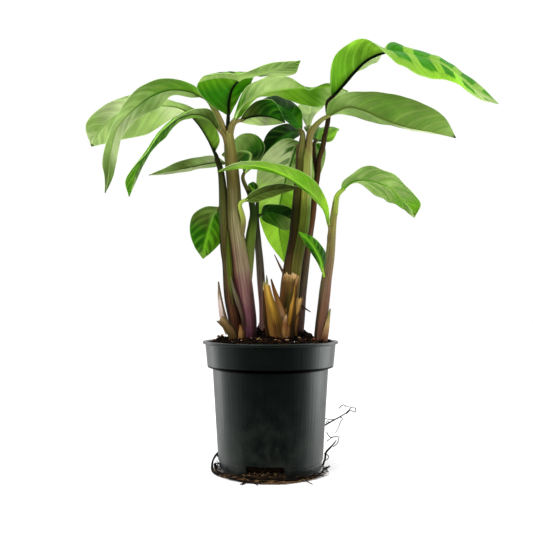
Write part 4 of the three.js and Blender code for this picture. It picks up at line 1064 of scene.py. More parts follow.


def add_sheet(shape, path, widths, wrap, facing, finish, seed, thickness=0.5, tear=6, curl=0.0):
    """A dry strip of old sheath: it follows a path and is bowed across by wrap degrees.

    facing is the bearing of its outer side, 0 towards the front and 90 to the right. Its far
    end is torn, and it may curl outward there.
    """
    spline = Spline(path)
    rows = max(8, round(spline.length / SHEET_STEP))
    shares = spline.even_shares(rows - 1)
    centres = spline.at(shares)
    tangents = spline.tangents(shares)
    bearing = math.radians(facing)
    outward = np.array([math.sin(bearing), -math.cos(bearing), 0.0])
    out = unit(outward - tangents * (tangents @ outward)[:, None])
    side = np.cross(out, tangents)
    half = spread_values(widths, np.linspace(0, 1, rows))[:, None] / 2
    draw = random.Random(seed)
    phases = [draw.uniform(0, 2 * math.pi) for _ in range(4)]
    across = np.linspace(-1, 1, SHEET_COLUMNS)[None, :]
    bow = math.radians(wrap) / 2
    radius = half / max(math.sin(min(bow, math.pi / 2)), 0.15)
    depth = radius * (np.cos(bow * across) - math.cos(bow))
    sideways = radius * np.sin(bow * across)
    along = np.linspace(0, 1, rows)[:, None]
    ribs = 0.12 * np.sin(9 * math.pi * across + phases[0])
    ribs = ribs + 0.2 * np.sin(4 * across + phases[1] + 3 * along)
    rise = (depth + ribs + curl * along**4)[..., None]
    points = centres[:, None] + side[:, None] * sideways[..., None] + out[:, None] * rise
    ragged = (np.sin(7 * across + phases[2]) + 0.7 * np.sin(17 * across + phases[3])) / 1.7
    points = points - tangents[:, None] * (tear * (0.5 + 0.5 * ragged) * along**3)[..., None]
    step_along = np.gradient(points, axis=0)
    step_across = np.gradient(points, axis=1)
    normal = unit(np.cross(step_along, step_across))
    if (normal * out[:, None]).sum() < 0:
        normal = -normal
    outer = points + normal * thickness / 2
    inner = points - normal * thickness / 2
    if np.cross(outer[0, 1] - outer[0, 0], outer[1, 0] - outer[0, 0]).dot(normal[0, 0]) < 0:
        outer, inner = outer[:, ::-1], inner[:, ::-1]
    flat, faces, _ = shell(outer, inner)
    length = np.repeat(spline.length_at(shares)[:, None] * MM, SHEET_COLUMNS, axis=1)
    turn = np.repeat(across * SHEET_TURN + 0.5, rows, axis=0)
    maps = np.tile(np.stack([length.ravel(), turn.ravel()], axis=1), (2, 1))
    shape.add(flat, faces, finish, maps)


SKIN_BLOTCH_SCALE = 55.0
SKIN_WANDER = 0.16  # how far the colours stray up and down, as a share of the heights
SKIN_STREAKS = 26.0  # how many streaks lie round a stem
FIBRE_SCALE = 14.0  # along the stem, per metre
BAND_SCALE = 9.0
THREAD_SCALE = 45.0
SIDE_LIGHTING_FRAY = 0.8
SIDE_LIGHTING_START = 0.2  # where a side's painted light and shade begins and is full, by the sine of the turn
SIDE_LIGHTING_FULL = 0.75
FIBRE_SHADE = 1.7
THREAD_SHADE = (1.1, -0.51)  # a factor, and what is added to the shade
SKIN_BUMP = 0.0006


def fibre_paint(name, heights, colors, second, left="", right="", mottle=0.35, roughness=0.55):
    """A stem's skin: colours from the lower height to the upper, streaked along its length.

    left and right are the colours of the sides, where they differ from the front's. Besides the skin's own
    colour
    they hold painted light and shade: darker sides stand for the shade in the crevices between stems and
    sheaths, and paler sides are painted highlights. second is the colour of the bands.
    """
    paint = Paint(name, {"Roughness": roughness, "Specular IOR Level": LEAF_SPECULAR})
    length, turn, _ = paint.split(paint.uv("first"))
    height = paint.split(paint.place())[2]
    blotch = paint.noise(paint.place(), SKIN_BLOTCH_SCALE, 4)
    low, high = heights
    share = paint.node("ShaderNodeMapRange", {"Value": height, 1: low * MM, 2: high * MM}).outputs[0]
    share = paint.plus(share, paint.centred(blotch, SKIN_WANDER))
    fibres = paint.streaks(length, turn, (FIBRE_SCALE, SKIN_STREAKS), 4)
    bands = paint.streaks(length, turn, (BAND_SCALE, SKIN_STREAKS / 6), 2)
    threads = paint.streaks(length, turn, (THREAD_SCALE, SKIN_STREAKS * 4), 2)
    rightward = paint.math("SINE", paint.times(turn, 2 * math.pi))
    rightward = paint.plus(rightward, paint.centred(fibres, SIDE_LIGHTING_FRAY))
    color = paint.ramp(share, colors.split())
    # the sides' colours paint light and shade on the stem: shade on its darker side, a highlight on its
    # paler side
    for side, side_colors in ((-1, left), (1, right)):
        if side_colors:
            side_lighting = paint.smooth(rightward, side * SIDE_LIGHTING_START, side * SIDE_LIGHTING_FULL)
            color = paint.mix(side_lighting, color, paint.ramp(share, side_colors.split()))
    color = paint.mix(paint.times(paint.smooth(bands, 0.4, 0.66), mottle), color, second)
    shade = paint.scaled(fibres, FIBRE_SHADE, paint.scaled(threads, *THREAD_SHADE))
    paint.color(paint.shaded(color, shade))
    paint.bump(paint.plus(fibres, paint.times(blotch, 0.4)), SKIN_BUMP)
    return paint


# In the pieces below, the number after a stem's or petiole's radii is the place of its paint in
# the piece's list, and a stem's next number is the seed of its flutes. The numbers after a
# sheet's widths are its wrap and bearing in degrees, its paint and its seed.


def stem_a_piece():
    paints = [
        fibre_paint(
            "a_left", (140, 330), "#3a1c14 #442a1a #544428 #4c4220 #4c4c22 #4c5024 #24280e", "#2c2c14",
            left="#1c0e08 #201408 #241c0c #20200a #34401c #2c3410 #181c08",
            right="#200c08 #241008 #34240f #2c2810 #3c401c #3c4420 #181c08"),
        fibre_paint(
            "a_middle", (135, 350),
            "#502c3c #5c383e #684c48 #746450 #746c50 #7a7450 #5a5224 #746c38 #7c7c42", "#4c4428",
            left="#401c26 #441c24 #482426 #543c2c #5c5034 #4c4c24 #34300f #4c4c1c #5c5c2c",
            right="#4c2630 #583438 #5c4038 #6c5c48 #6c6840 #64602c #403a14 #544c20 #6c6430"),
        fibre_paint("a_right", (190, 295), "#4c4c20 #545c28 #485c1c #1c2c08 #14240a", "#3a4a14"),
        fibre_paint(
            "a_petioles", (255, 392), "#7c9040 #4c4c20 #5a5828 #6c6038 #7a7040 #648a2c", "#3a3416",
            mottle=0.5),
        fibre_paint("a_middle_petiole", (235, 280), "#5c4c34 #645c38 #84903c #90a840", "#5c6424"),
        fibre_paint(
            "a_sheath", (140, 250), "#4c3c2c #6c6450 #6c6c4c #5a5a2c #4c5414 #8a8448", "#3c3014",
            left="#7c6c50 #a89c7c #8c8860 #6c6c34 #5c6420", roughness=0.75),
        fibre_paint(
            "a_dry_sheath", (146, 200), "#8c7c64 #a49088 #b4a49c #6c5c48 #2c2010", "#6c5c4c",
            left="#4c4024 #3c3018 #34280f #241a0a", roughness=0.8),
        fibre_paint("a_dark_petioles", (280, 350), "#14180a #1c2410 #1c2410", "#2c3416"),
        fibre_paint(
            "a_brown_strip", (150, 205), "#3c2c24 #4c4034 #5c5440 #6c6448", "#2c1c14",
            left="#2c1c14 #30241a #3c3424 #4c4c2c", roughness=0.75),
        fibre_paint(
            "a_green_strip", (172, 250), "#4c4c24 #48501c #404c10 #3c4810 #3c4014", "#2c300a",
            left="#343414 #343c0c #2c300c"),
    ]
    shape = Shape()
    add_stem(
        shape,
        [[-33, 0, 122], [-35, -1, 139], [-37, -2, 156], [-42, -2, 180], [-45, -2, 217], [-47, -2, 231],
         [-50, -1, 292], [-53, 4, 315], [-57, 7, 327]],
        [7.5, 7.6, 6.6, 5.9, 5.6, 5.4, 4, 2.6], 0, 3)
    add_stem(
        shape,
        [[-21, -5, 122], [-22, -5, 137], [-22, -6, 153], [-26, -6, 180], [-31, -6, 216], [-35, -6, 245],
         [-37, -6, 265], [-38, -6, 292], [-41, -6, 323], [-44, -6, 352]],
        [6.5, 7.8, 9.1, 9.5, 8.2, 7.4, 7, 6.7, 5], 1, 5)
    add_stem(
        shape,
        [[-25, -4, 196], [-21, -2, 240], [-19, 0, 256], [-18, 4, 268], [-20, 5, 280], [-23, 7, 293]],
        [5.6, 5.8, 5.2, 3.8, 2.6], 2, 7)
    add_petiole(shape, [[-57, 7, 325]], "leaf_a_left_back", [2.8, 2.2, 1.7], 7)
    add_petiole(shape, [[-44, -6, 340], [-54, -5, 367]], "leaf_a_left_front", [3.6, 3.6, 3.2, 1.9], 3)
    add_petiole(shape, [[-45, -7, 338]], "leaf_a_left_narrow", [3.2, 2.2, 1.8], 3)
    add_petiole(shape, [[-42, 0, 308], [-42, 14, 320]], "leaf_a_low_back", [2.6, 2, 1.7], 3)
    add_petiole(shape, [[-44, -6, 345]], "leaf_a_top", [3.4, 2.4, 1.9], 7)
    add_petiole(shape, [[-43, -7, 343]], "leaf_a_right_over", [3.2, 2.4, 1.9], 3)
    add_petiole(shape, [[-43, -5, 345]], "leaf_a_right_under", [3.2, 2.2, 1.7], 3)
    add_petiole(shape, [[-32, -8, 238], [-28, -12, 258]], "leaf_a_middle", [4, 3, 2.4, 1.8], 4)
    add_petiole(shape, [[-23, 7, 291]], "leaf_a_inner", [2.5, 2.2, 1.8], 3)
    add_petiole(shape, [[-48, -2, 262], [-50, 7, 276]], "leaf_a_low_round", [2.4, 1.9, 1.6], 3)
    add_sheet(
        shape, [[-43, -4, 142], [-48, -7, 155], [-52, -8, 175], [-54, -8, 196]], [9, 8, 5, 1.2], 120,
        -20, 6, 11, tear=1)
    add_sheet(
        shape,
        [[-38.5, -11, 172], [-41, -11, 192], [-42.5, -11, 212], [-43.5, -10, 232], [-44, -8, 250]],
        [0.8, 4, 6, 4.5, 2], 90, -10, 9, 12, tear=1)
    add_sheet(
        shape,
        [[-27, -14, 150], [-30, -14, 164], [-33.5, -14, 175], [-37.5, -13, 187], [-41, -12, 201]],
        [2, 4, 5, 3.2, 0.8], 70, -5, 8, 13, tear=1)
    shape.piece("canes_a", paints, ["stem_a"])


def stem_b_piece():
    paints = [
        # its left side's near-black colours are painted shade, in the crevice beside it
        fibre_paint(
            "b_left", (140, 345),
            "#3c3010 #3a3010 #4a3c20 #3a2c14 #241c08 #26280a #3a3c12 #4a4c1c #5c5c2c", "#1c1204",
            left="#1c1408 #241808 #3c2c18 #2c1c0c #181004 #141404 #2a2410 #3a2c18 #4a4020"),
        # its right side's pale greens are a painted highlight
        fibre_paint(
            "b_right", (140, 340),
            "#4c3c1c #5c4c20 #504a1c #4c4a1c #343c10 #4c5818 #788030 #8c9448 #7c7c3c", "#3a3c10",
            right="#3c2c14 #443414 #4a4418 #505022 #3c4c18 #5c7430 #8c9c5c #9cac70 #7c7c44"),
        fibre_paint(
            "b_petioles", (318, 370), "#6c6c34 #6c6438 #7c8440", "#4a4420",
            left="#5c5c2c #54481f #6c7434", right="#7c7c44 #7c7448 #84904c"),
        # its left side's near-black colours are painted shade, in the crevices between the sheath strips
        fibre_paint(
            "b_sheath", (140, 205), "#1c1206 #1c1606 #262208 #30280c #4c3818 #8c7040", "#4c3014",
            left="#0c0803 #100e03 #161804 #1c1c06 #2c240c #84683c",
            right="#2c1a0a #402a12 #5c3c1c #5c3a1c #503618 #8c6c40", roughness=0.8, mottle=0.5),
        fibre_paint(
            "b_gold_strips", (140, 205), "#7c5818 #946c20 #a07830 #80602c #6c5028", "#5c3c14",
            left="#40280c #64440f #584010 #40280c", roughness=0.75),
        fibre_paint("b_spike", (195, 225), "#4a3020 #4e3828 #2a1c14", "#1c1008"),
        fibre_paint(
            "b_tan_strips", (140, 205), "#4c3018 #64441f #74542c #644824 #94744c", "#3c240f",
            left="#30200a #40280f #4c3418 #402c14 #74542c", roughness=0.75, mottle=0.6),
        fibre_paint("b_rim", (188, 208), "#6c5028 #a08050 #c8ac7c", "#5c3c1c", roughness=0.75),
        fibre_paint(
            "b_pale_bit", (152, 180), "#845c2c #9c783c #a88850", "#5c3c1c", roughness=0.75, mottle=0.7),
    ]
    shape = Shape()
    add_stem(
        shape,
        [[13, -3, 122], [13, -3, 139], [14.5, -3, 165], [17, -3, 195], [21, -3.5, 222], [24, -4, 240],
         [25.5, -4, 257], [28.5, -4, 292], [30.5, -4, 323], [30.5, -4, 339]],
        [5, 5.4, 5.8, 5.8, 5.4, 4.8, 4.5, 4.3, 4.1, 3.4], 0, 5)
    add_stem(
        shape,
        [[21, -3, 122], [21, -3, 139], [22, -3, 165], [24.5, -3, 195], [28, -3.5, 222], [31, -4, 236],
         [35, -4, 257], [37.5, -4, 292], [39, -4, 323], [40, -4, 338]],
        [5, 5.6, 6.2, 6.5, 6.6, 6.2, 5.9, 5.5, 5.1, 4], 1, 6)
    add_petiole(shape, [[30.5, -4, 325]], "leaf_b_left", [3.8, 3.5, 2.2], 0)
    add_petiole(
        shape, [[40, -4, 325], [40.5, -6, 343], [44, -12, 353]], "leaf_b_right_middle",
        [3.8, 3.7, 3, 2.1], 2)
    add_petiole(shape, [[38, -3, 328], [39, 4, 345]], "leaf_b_back_high", [2.6, 2, 1.6], 2)
    add_petiole(shape, [[40, -3, 318], [39, 5, 333]], "leaf_b_hanging", [2.6, 2.2, 1.8], 2)
    add_petiole(shape, [[30, -3, 330]], "leaf_b_back_arch", [2.6, 2, 1.6], 2)
    add_tube(
        shape, [[19, -4, 197], [13, -6, 206], [4, -9, 224]], [1.6, 1.2, 0.4], 10, 2, PETIOLE_FLUTES, 5,
        5)
    add_sheet(
        shape, [[17, -9, 138], [18, -10.5, 160], [19, -11, 182], [20.5, -11, 203]], [19, 19, 17, 15],
        160, -5, 3, 21, tear=4)
    add_sheet(
        shape, [[19.5, -11, 193], [20.5, -11.6, 200], [20.5, -12.2, 206]], [14, 14, 12.5], 150, -5, 7,
        26, tear=4.5, curl=2.2)
    add_sheet(
        shape, [[12, -16, 150], [17, -16.5, 164], [22, -15.5, 180], [28, -12.5, 203]], [5, 7, 6.5, 4.5],
        80, 25, 6, 24, tear=3.5, curl=1.2)
    add_sheet(
        shape, [[25.5, -13, 172], [27, -12.5, 186], [28.5, -11, 202]], [2, 3, 3.4], 70, 35, 6, 27,
        tear=5, curl=1.5)
    add_sheet(
        shape, [[16, -18, 138], [19, -18.5, 154], [22, -17.5, 172], [25, -15, 193]], [2.5, 4.2, 4.4, 3],
        50, 10, 4, 22, tear=2, curl=0.6)
    add_sheet(
        shape, [[25, -12.5, 156], [28, -13.5, 168], [30, -12.5, 180]], [3, 5, 6.5], 60, 20, 8, 23,
        tear=4, curl=1.5)
    add_sheet(
        shape, [[24, -12, 140], [26, -12.5, 152], [28, -12, 164]], [8, 7, 3], 80, 30, 6, 25, tear=4,
        curl=1)
    shape.piece("canes_b", paints, ["stem_b"])


def stem_b_right_piece():
    paints = [
        fibre_paint(
            "b_back_cane", (135, 350),
            "#6c4c48 #6c544c #5c5040 #5c4c38 #6c4834 #5c3c20 #4c341c #3c2c14 #34280f", "#1c140a",
            left="#241410 #3c2c20 #342818 #241808 #3c2414 #2c1c0c #181004 #140f06",
            right="#6c504c #5c4840 #58503c #544834 #5c3c2c #4c301c #40280f #2c200a"),
        fibre_paint("b_back_petioles", (290, 392), "#4a3820 #3c2c14 #2c200f #140f06", "#140f06"),
    ]
    shape = Shape()
    add_stem(
        shape,
        [[31, 15, 122], [32, 15, 138], [33, 15, 155], [34, 13, 180], [37, 11, 209], [41, 9, 241],
         [45, 6, 269], [47, 4, 291], [50, 3, 312], [51, 2, 325], [55, -1, 338], [57, -4, 350]],
        [3, 3.6, 4.2, 4.3, 4, 3.7, 3.5, 3.3, 3.1, 2.8, 2.6], 0, 3, 20)
    add_petiole(shape, [[57, -4, 348], [60, -10, 366]], "leaf_b_right_top", [2.6, 2.6, 2.4, 2], 1)
    add_petiole(
        shape, [[47, 5, 294], [49, 6, 310], [47, 7, 326]], "leaf_b_back_low", [2.4, 2.3, 2, 1.7], 1)
    add_tube(
        shape, [[34, 9, 171], [37, 9, 168], [43, 8, 164]], [1.1, 0.8, 0.4], 8, 1.5, PETIOLE_FLUTES, 5,
        1)
    shape.piece("cane_b_back", paints, ["stem_b_right"])


def stem_c_piece():
    paints = [
        fibre_paint(
            "c_cane", (140, 285), "#583c2c #5c402f #604a38 #685840 #6c6438 #7c783c #747434", "#3c301c",
            left="#2c2014 #302818 #403a24 #54502c #646430 #6c7030 #5c6420",
            right="#5c3c2c #604434 #684c3c #6c583c #70683c #7c7840 #747c38"),
        fibre_paint("c_petioles", (190, 292), "#78a02c #86b030 #7c7c3c #84a038", "#6a8030"),
        fibre_paint(
            "c_sheath", (135, 170), "#5c3424 #8c6c4c #9c8454 #7c7c44 #4c5424", "#4a2c1c",
            roughness=0.8),
        fibre_paint("c_arch_petiole", (225, 270), "#54482c #5c5030 #6c6434 #748028", "#4c4424"),
    ]
    shape = Shape()
    add_stem(
        shape,
        [[51, -5, 122], [51, -5, 137], [54, -5, 161], [58, -5, 196], [62, -5, 222], [65, -5, 257],
         [68, -6, 279]],
        [5.2, 6.2, 6, 5, 4.2, 3.2], 0, 3)
    add_petiole(shape, [[67, -6, 266]], "leaf_c_right", [3.4, 3.2, 2.2], 1)
    add_petiole(shape, [[63, -4, 225], [60.5, -8, 240]], "leaf_c_left_arch", [1, 1.7, 1.9, 1.7], 3)
    add_petiole(shape, [[58, -5, 193], [55.5, -9, 201]], "leaf_c_low_left", [0.8, 1.2, 1.4, 1.3], 1)
    add_sheet(
        shape, [[56, -9, 136], [58, -9.5, 146], [60, -9.5, 157], [62, -8, 168]], [8, 7, 4, 1.2], 100,
        30, 2, 31, tear=1)
    shape.piece("cane_c", paints, ["stem_c"])


def stem_d_piece():
    paints = [
        # the pale pink of its front is made paler still as painted light, to make up for the shade that
        # the stems in front cast on it
        fibre_paint(
            "d_cane", (140, 275), "#d0a498 #b4887c #887060 #5c5446 #4c4a38 #30341c #142006", "#342c20",
            left="#8c5c5c #8c5c58 #74504c #64544a #54503f #2c2c18 #101a04",
            right="#7c584c #6a4c40 #4c3c30 #3a3228 #3c382c #1c200f #0c1404"),
        fibre_paint("d_petioles", (250, 300), "#22300e #1c2a0c #203010", "#101a06"),
    ]
    shape = Shape()
    add_stem(
        shape,
        [[-8, 16, 122], [-8, 16, 138], [-8, 15, 170], [-10, 14, 195], [-12, 14, 223], [-13, 13, 233],
         [-15, 12, 261], [-15, 13, 272]],
        [4.3, 4.4, 4.4, 4.2, 3.6, 2.6], 0, 3, 20)
    add_petiole(shape, [[-14, 12, 253]], "leaf_d_right", [2.6, 2, 1.6], 1)
    add_petiole(shape, [[-15, 12, 268]], "leaf_d_young", [2.4, 1.9, 1.4], 1)
    shape.piece("cane_d", paints, ["stem_d"])


def stub_pieces():
    golden = fibre_paint(
        "stub_golden", (136, 200), "#4c3018 #40280f #6c5018 #8c6c24 #a08038 #b09858", "#5c4010",
        left="#3c2818 #2c1c08 #4c3810 #7c5c1c #94783a", right="#6c4c28 #5c4018 #6c4c1c #7c5c24",
        roughness=0.75, mottle=0.55)
    dark = fibre_paint(
        "stub_dark", (128, 200), "#1c1008 #30200f #3c2812 #4c3418", "#100904", roughness=0.85)
    flap = fibre_paint(
        "stub_flap", (148, 198), "#74583a #7c6040 #6c4c28 #5c3c18 #40240c", "#3c200c",
        left="#3c2410 #4c2c10 #4c300f #3c200a", roughness=0.75)
    tan = fibre_paint(
        "stub_tan", (134, 162), "#84603a #8c683c #6c4824 #b0946c", "#4c3018",
        left="#5c3c20 #6c4824 #4c2c14 #8c6c48", roughness=0.8, mottle=0.6)
    tip = fibre_paint(
        "stub_tip", (188, 203), "#c4b470 #8c8858 #3c4020 #2c3018", "#4c4c28", roughness=0.7)
    brown = fibre_paint(
        "stub_brown", (128, 162), "#2c1c0c #3c2c16 #544024 #7c6844", "#1c120a",
        left="#140c06 #1c140a #241c0c #5c4c30", roughness=0.8)
    front = Shape()
    add_stem(
        front, [[12, -21, 126], [11, -21, 140], [6, -21, 161], [2, -20, 172]], [6.2, 6.4, 5.0, 3.2], 1,
        3)
    add_sheet(
        front, [[7, -28, 136], [5, -28.5, 151], [1.5, -27.5, 167], [-2, -26, 181], [-4, -24.5, 193]],
        [13, 15, 12, 8.5, 6], 110, -8, 0, 51, thickness=0.7, tear=3, curl=0.6)
    add_sheet(
        front, [[-3, -23, 140], [-5, -23, 155], [-6, -22, 171], [-6.5, -21, 186]], [5, 5, 4, 2.5], 70,
        -45, 1, 52, tear=2)
    add_sheet(
        front, [[14, -24, 154], [9.5, -25, 170], [4.5, -25, 184], [0.5, -24, 198]], [10, 8, 5, 1.2],
        100, 30, 2, 54, tear=1)
    add_sheet(
        front, [[8, -26, 135], [7, -28.5, 143], [6.5, -29, 150], [6, -28, 156]], [10, 11, 7, 3.5], 90,
        -15, 3, 53, tear=4, curl=1.5)
    add_sheet(
        front, [[12, -26, 135], [13, -29, 144], [14.5, -29, 153], [15.5, -27.5, 162]], [11, 9, 6, 2],
        80, 15, 3, 60, tear=3, curl=2)
    add_sheet(
        front, [[17, -25, 136], [13, -28.5, 141], [8, -30, 146], [4, -30, 149]], [5, 5, 3, 1], 70, 0, 3,
        61, tear=2)
    add_sheet(
        front, [[15, -25, 136], [17, -25, 143], [19, -24, 152]], [7, 5, 2], 60, 25, 3, 56, tear=2,
        curl=1)
    add_sheet(
        front, [[-5, -23, 187], [-5.5, -22.5, 191], [-6.5, -22.5, 196]], [5, 4, 1.5], 90, -20, 4, 57,
        tear=1)
    add_tube(
        front, [[-3.5, -22, 188], [-3.5, -22, 195], [-4, -22, 202]], [1.5, 1.3, 0.3], 10, 1.5,
        PETIOLE_FLUTES, 3, 4)
    front.piece("stub_front_sheath", [golden, dark, flap, tan, tip], ["stub_front"])
    left = Shape()
    add_sheet(
        left, [[-36, -14, 127], [-38, -14, 139], [-44, -14, 149], [-52.5, -14, 158]], [9, 9, 8.4, 8],
        330, 0, 0, 55, thickness=0.7, tear=2.5)
    add_sheet(
        left, [[-36, -19.5, 130], [-37, -20, 141], [-41, -19.5, 149], [-46, -18.5, 155]], [8, 8, 6, 2],
        130, 10, 0, 58, thickness=0.6, tear=2, curl=0.5)
    add_sheet(
        left, [[-31, -20, 134], [-30, -20.5, 142], [-31, -20, 152]], [5.5, 5.5, 1.5], 90, 20, 2, 59,
        tear=2, curl=0.8)
    add_tube(
        left, [[-37, -14, 128], [-39, -14, 139], [-44, -14, 147]], [3.2, 3.1, 2.6], 16, 1.5,
        STEM_FLUTES, 5, 1)
    left.piece("stub_left_sheath", [brown, dark, tan], ["stub_left"])


# ---------------------------------------------------------------- pot

POT_HEIGHT = 134
POT_WALL = 1.6
RIM_RADIUS = 71
RIM_THICKNESS = 2.4
COLLAR_TOP_RADIUS = 68.3
COLLAR_BOTTOM_RADIUS = 66
COLLAR_BOTTOM = 107
BODY_TOP_RADIUS = 60.8
BODY_BOTTOM_RADIUS = 55
FOOT_HEIGHT = 10
FOOT_RADIUS = 54
FOOT_RING_INSIDE = 47.5
CHANNEL_INSIDE = 19
CHANNEL_HEIGHT = 5
CENTRE_PAD_RADIUS = 16
NOTCH_WIDTH = 38
NOTCH_HEIGHT = 14.5
NOTCH_DEPTH = 6
NOTCH_COUNT = 3
NOTCH_TURN = -6
NOTCH_ROUNDING = 3
DRAIN_RADIUS = 4
DRAIN_CIRCLE = 32
DRAIN_COUNT = 6
POT_SEGMENTS = 180
FILLET_STEPS = 5


def rounded(profile):
    """A profile's points, with an arc of the given radius at each corner that states one."""
    points = []
    for index, (radius, height, fillet) in enumerate(profile):
        corner = np.array([radius, height], float)
        if fillet == 0:
            points.append(corner)
            continue
        before = np.array(profile[index - 1][:2], float) - corner
        after = np.array(profile[index + 1][:2], float) - corner
        reach = min(fillet, np.linalg.norm(before) / 2, np.linalg.norm(after) / 2)
        start = corner + unit(before) * reach
        end = corner + unit(after) * reach
        for step in range(FILLET_STEPS + 1):
            t = step / FILLET_STEPS
            points.append((1 - t) ** 2 * start + 2 * t * (1 - t) * corner + t**2 * end)
    return points


def turned_mesh(name, profile, segments):
    """A closed turned mesh, from a profile that starts and ends on the axis."""
    form = bmesh.new()
    rings = []
    for radius, height in profile:
        if radius == 0:
            rings.append([form.verts.new((0, 0, height * MM))] * segments)
            continue
        ring = []
        for index in range(segments):
            angle = 2 * math.pi * index / segments
            place = (radius * MM * math.cos(angle), radius * MM * math.sin(angle), height * MM)
            ring.append(form.verts.new(place))
        rings.append(ring)
    for lower, upper in zip(rings, rings[1:]):
        for index in range(segments):
            after = (index + 1) % segments
            corners = [lower[index], lower[after], upper[after], upper[index]]
            form.faces.new(list(dict.fromkeys(corners)))
    mesh = bpy.data.meshes.new(name)
    form.to_mesh(mesh)
    form.free()
    return mesh


def pot_profile():
    """The radius, height and rounding of each corner of the pot's section."""
    floor_top = CHANNEL_HEIGHT + POT_WALL
    rim_bottom = POT_HEIGHT - RIM_THICKNESS
    return rounded([
        # below, from the centre pad over the channel to the foot ring
        (0, 0, 0), (CENTRE_PAD_RADIUS, 0, 1), (CHANNEL_INSIDE, CHANNEL_HEIGHT, 1),
        (FOOT_RING_INSIDE - 2, CHANNEL_HEIGHT, 1), (FOOT_RING_INSIDE, 0, 0.8),
        # outside, up to the rim
        (FOOT_RADIUS - 0.4, 0, 1.4), (FOOT_RADIUS, FOOT_HEIGHT, 0.3),
        (BODY_BOTTOM_RADIUS, FOOT_HEIGHT + 0.8, 0.4), (BODY_TOP_RADIUS, COLLAR_BOTTOM + 0.6, 1),
        (COLLAR_BOTTOM_RADIUS, COLLAR_BOTTOM, 1), (COLLAR_TOP_RADIUS, rim_bottom - 0.3, 0.8),
        (RIM_RADIUS, rim_bottom, 0.8), (RIM_RADIUS, POT_HEIGHT, 1.1),
        # inside, down to the floor
        (COLLAR_TOP_RADIUS - POT_WALL, POT_HEIGHT, 1.1),
        (COLLAR_BOTTOM_RADIUS - POT_WALL, COLLAR_BOTTOM + 2, 1),
        (BODY_TOP_RADIUS - POT_WALL, COLLAR_BOTTOM - 1, 1),
        (BODY_BOTTOM_RADIUS - POT_WALL, FOOT_HEIGHT + 2, 1),
        (FOOT_RADIUS - POT_WALL - 1.6, floor_top, 1.5), (CHANNEL_INSIDE + 1, floor_top, 1),
        (CENTRE_PAD_RADIUS - 0.5, POT_WALL, 0), (0, POT_WALL, 0),
    ])


def cutter(name, form, radius, turn):
    """A form that cuts the pot, moved out from its axis. The turn is 0 at the front."""
    mesh = bpy.data.meshes.new(name)
    form.to_mesh(mesh)
    form.free()
    made = linked(name, mesh)
    made.location = (radius * MM * math.sin(turn), -radius * MM * math.cos(turn), 0)
    return made


def notch_cutters():
    cutters = []
    size = Vector((NOTCH_WIDTH, 2 * NOTCH_DEPTH, 2 * NOTCH_HEIGHT)) * MM
    for index in range(NOTCH_COUNT):
        form = bmesh.new()
        bmesh.ops.create_cube(form, size=1)
        bmesh.ops.scale(form, vec=size, verts=form.verts)
        edges = []
        for edge in form.edges:
            low, high = sorted(vert.co.z for vert in edge.verts)
            if low > 0 or low != high:
                edges.append(edge)
        bmesh.ops.bevel(form, geom=edges, offset=NOTCH_ROUNDING * MM, segments=4, affect="EDGES",
                        profile=0.5)
        turn = math.radians(NOTCH_TURN + 360 * index / NOTCH_COUNT)
        made = cutter(f"notch_{index}", form, FOOT_RADIUS, turn)
        made.rotation_euler = (0, 0, turn)
        cutters.append(made)
    return cutters


def drain_cutters():
    cutters = []
    radius = DRAIN_RADIUS * MM
    for index in range(DRAIN_COUNT):
        form = bmesh.new()
        bmesh.ops.create_cone(form, cap_ends=True, segments=32, radius1=radius, radius2=radius,
                              depth=4 * CHANNEL_HEIGHT * MM)
        turn = 2 * math.pi * (index + 0.5) / DRAIN_COUNT
        cutters.append(cutter(f"drain_{index}", form, DRAIN_CIRCLE, turn))
    return cutters


PLASTIC_TINT = (0.86, 1.0, 0.92, 1.0)
PLASTIC_STREAK_SCALES = (26.0, 9.0)  # round the pot, and up it per metre
SCRATCH_SCALES = (110.0, 14.0)
SCRATCH_STRENGTH = 0.03
DUST_SCALE = 70.0
DUST_TOP = 0.09  # in metres, as are the heights of the painted shade under the collar
DUST_STRENGTH = (0.05, 0.003)  # what the pot's foot gains, and what lies everywhere
COLLAR_SHADE_BOTTOM = (0.1045, 0.106)
COLLAR_SHADE_TOP = (0.1095, 0.1085)
PLASTIC_SPECULAR = (-0.38, 0.4)  # what the painted shade under the collar takes away, and the level elsewhere
PLASTIC_ROUGHNESS = (0.24, 0.16)  # what the streaks add, and the lowest
DUST_ROUGHNESS = 0.12
PLASTIC_BUMP = 0.0002


def plastic_paint():
    """Black plastic, with streaks, fine scratches, dust at the foot, and a painted shade under the collar:
    a black, less glossy band where the collar's step casts shade.
    """
    paint = Paint("black_plastic", {"Specular Tint": PLASTIC_TINT})
    x, y, z = paint.split(paint.place())
    bearing = paint.math("ARCTAN2", x, paint.times(y, -1.0))
    streaks = paint.streaks(bearing, z, PLASTIC_STREAK_SCALES, 5)
    scratches = paint.streaks(bearing, z, SCRATCH_SCALES, 3)
    dust = paint.noise(paint.place(), DUST_SCALE, 6, 0.65)
    low = paint.smooth(z, DUST_TOP, 0.0)
    powder = paint.times(paint.smooth(dust, 0.3, 0.78), paint.scaled(low, *DUST_STRENGTH))
    # the crease mask is the band under the collar that is painted as shade
    crease = paint.times(paint.smooth(z, *COLLAR_SHADE_BOTTOM), paint.smooth(z, *COLLAR_SHADE_TOP))
    scratched = paint.times(paint.smooth(scratches, 0.6, 0.75), SCRATCH_STRENGTH)
    color = paint.mix(streaks, "#020504", "#050a08")
    color = paint.mix(powder, color, "#8a8a80")
    color = paint.mix(scratched, color, "#4c5450")
    # painted shade: the band under the collar is painted black and made less glossy
    paint.color(paint.mix(crease, color, "#000000"))
    paint.feed("Specular IOR Level", paint.scaled(crease, *PLASTIC_SPECULAR))
    roughness = paint.scaled(streaks, *PLASTIC_ROUGHNESS)
    paint.feed("Roughness", paint.plus(roughness, paint.times(dust, DUST_ROUGHNESS)))
    paint.bump(paint.plus(streaks, paint.times(scratches, 0.3)), PLASTIC_BUMP)
    return paint


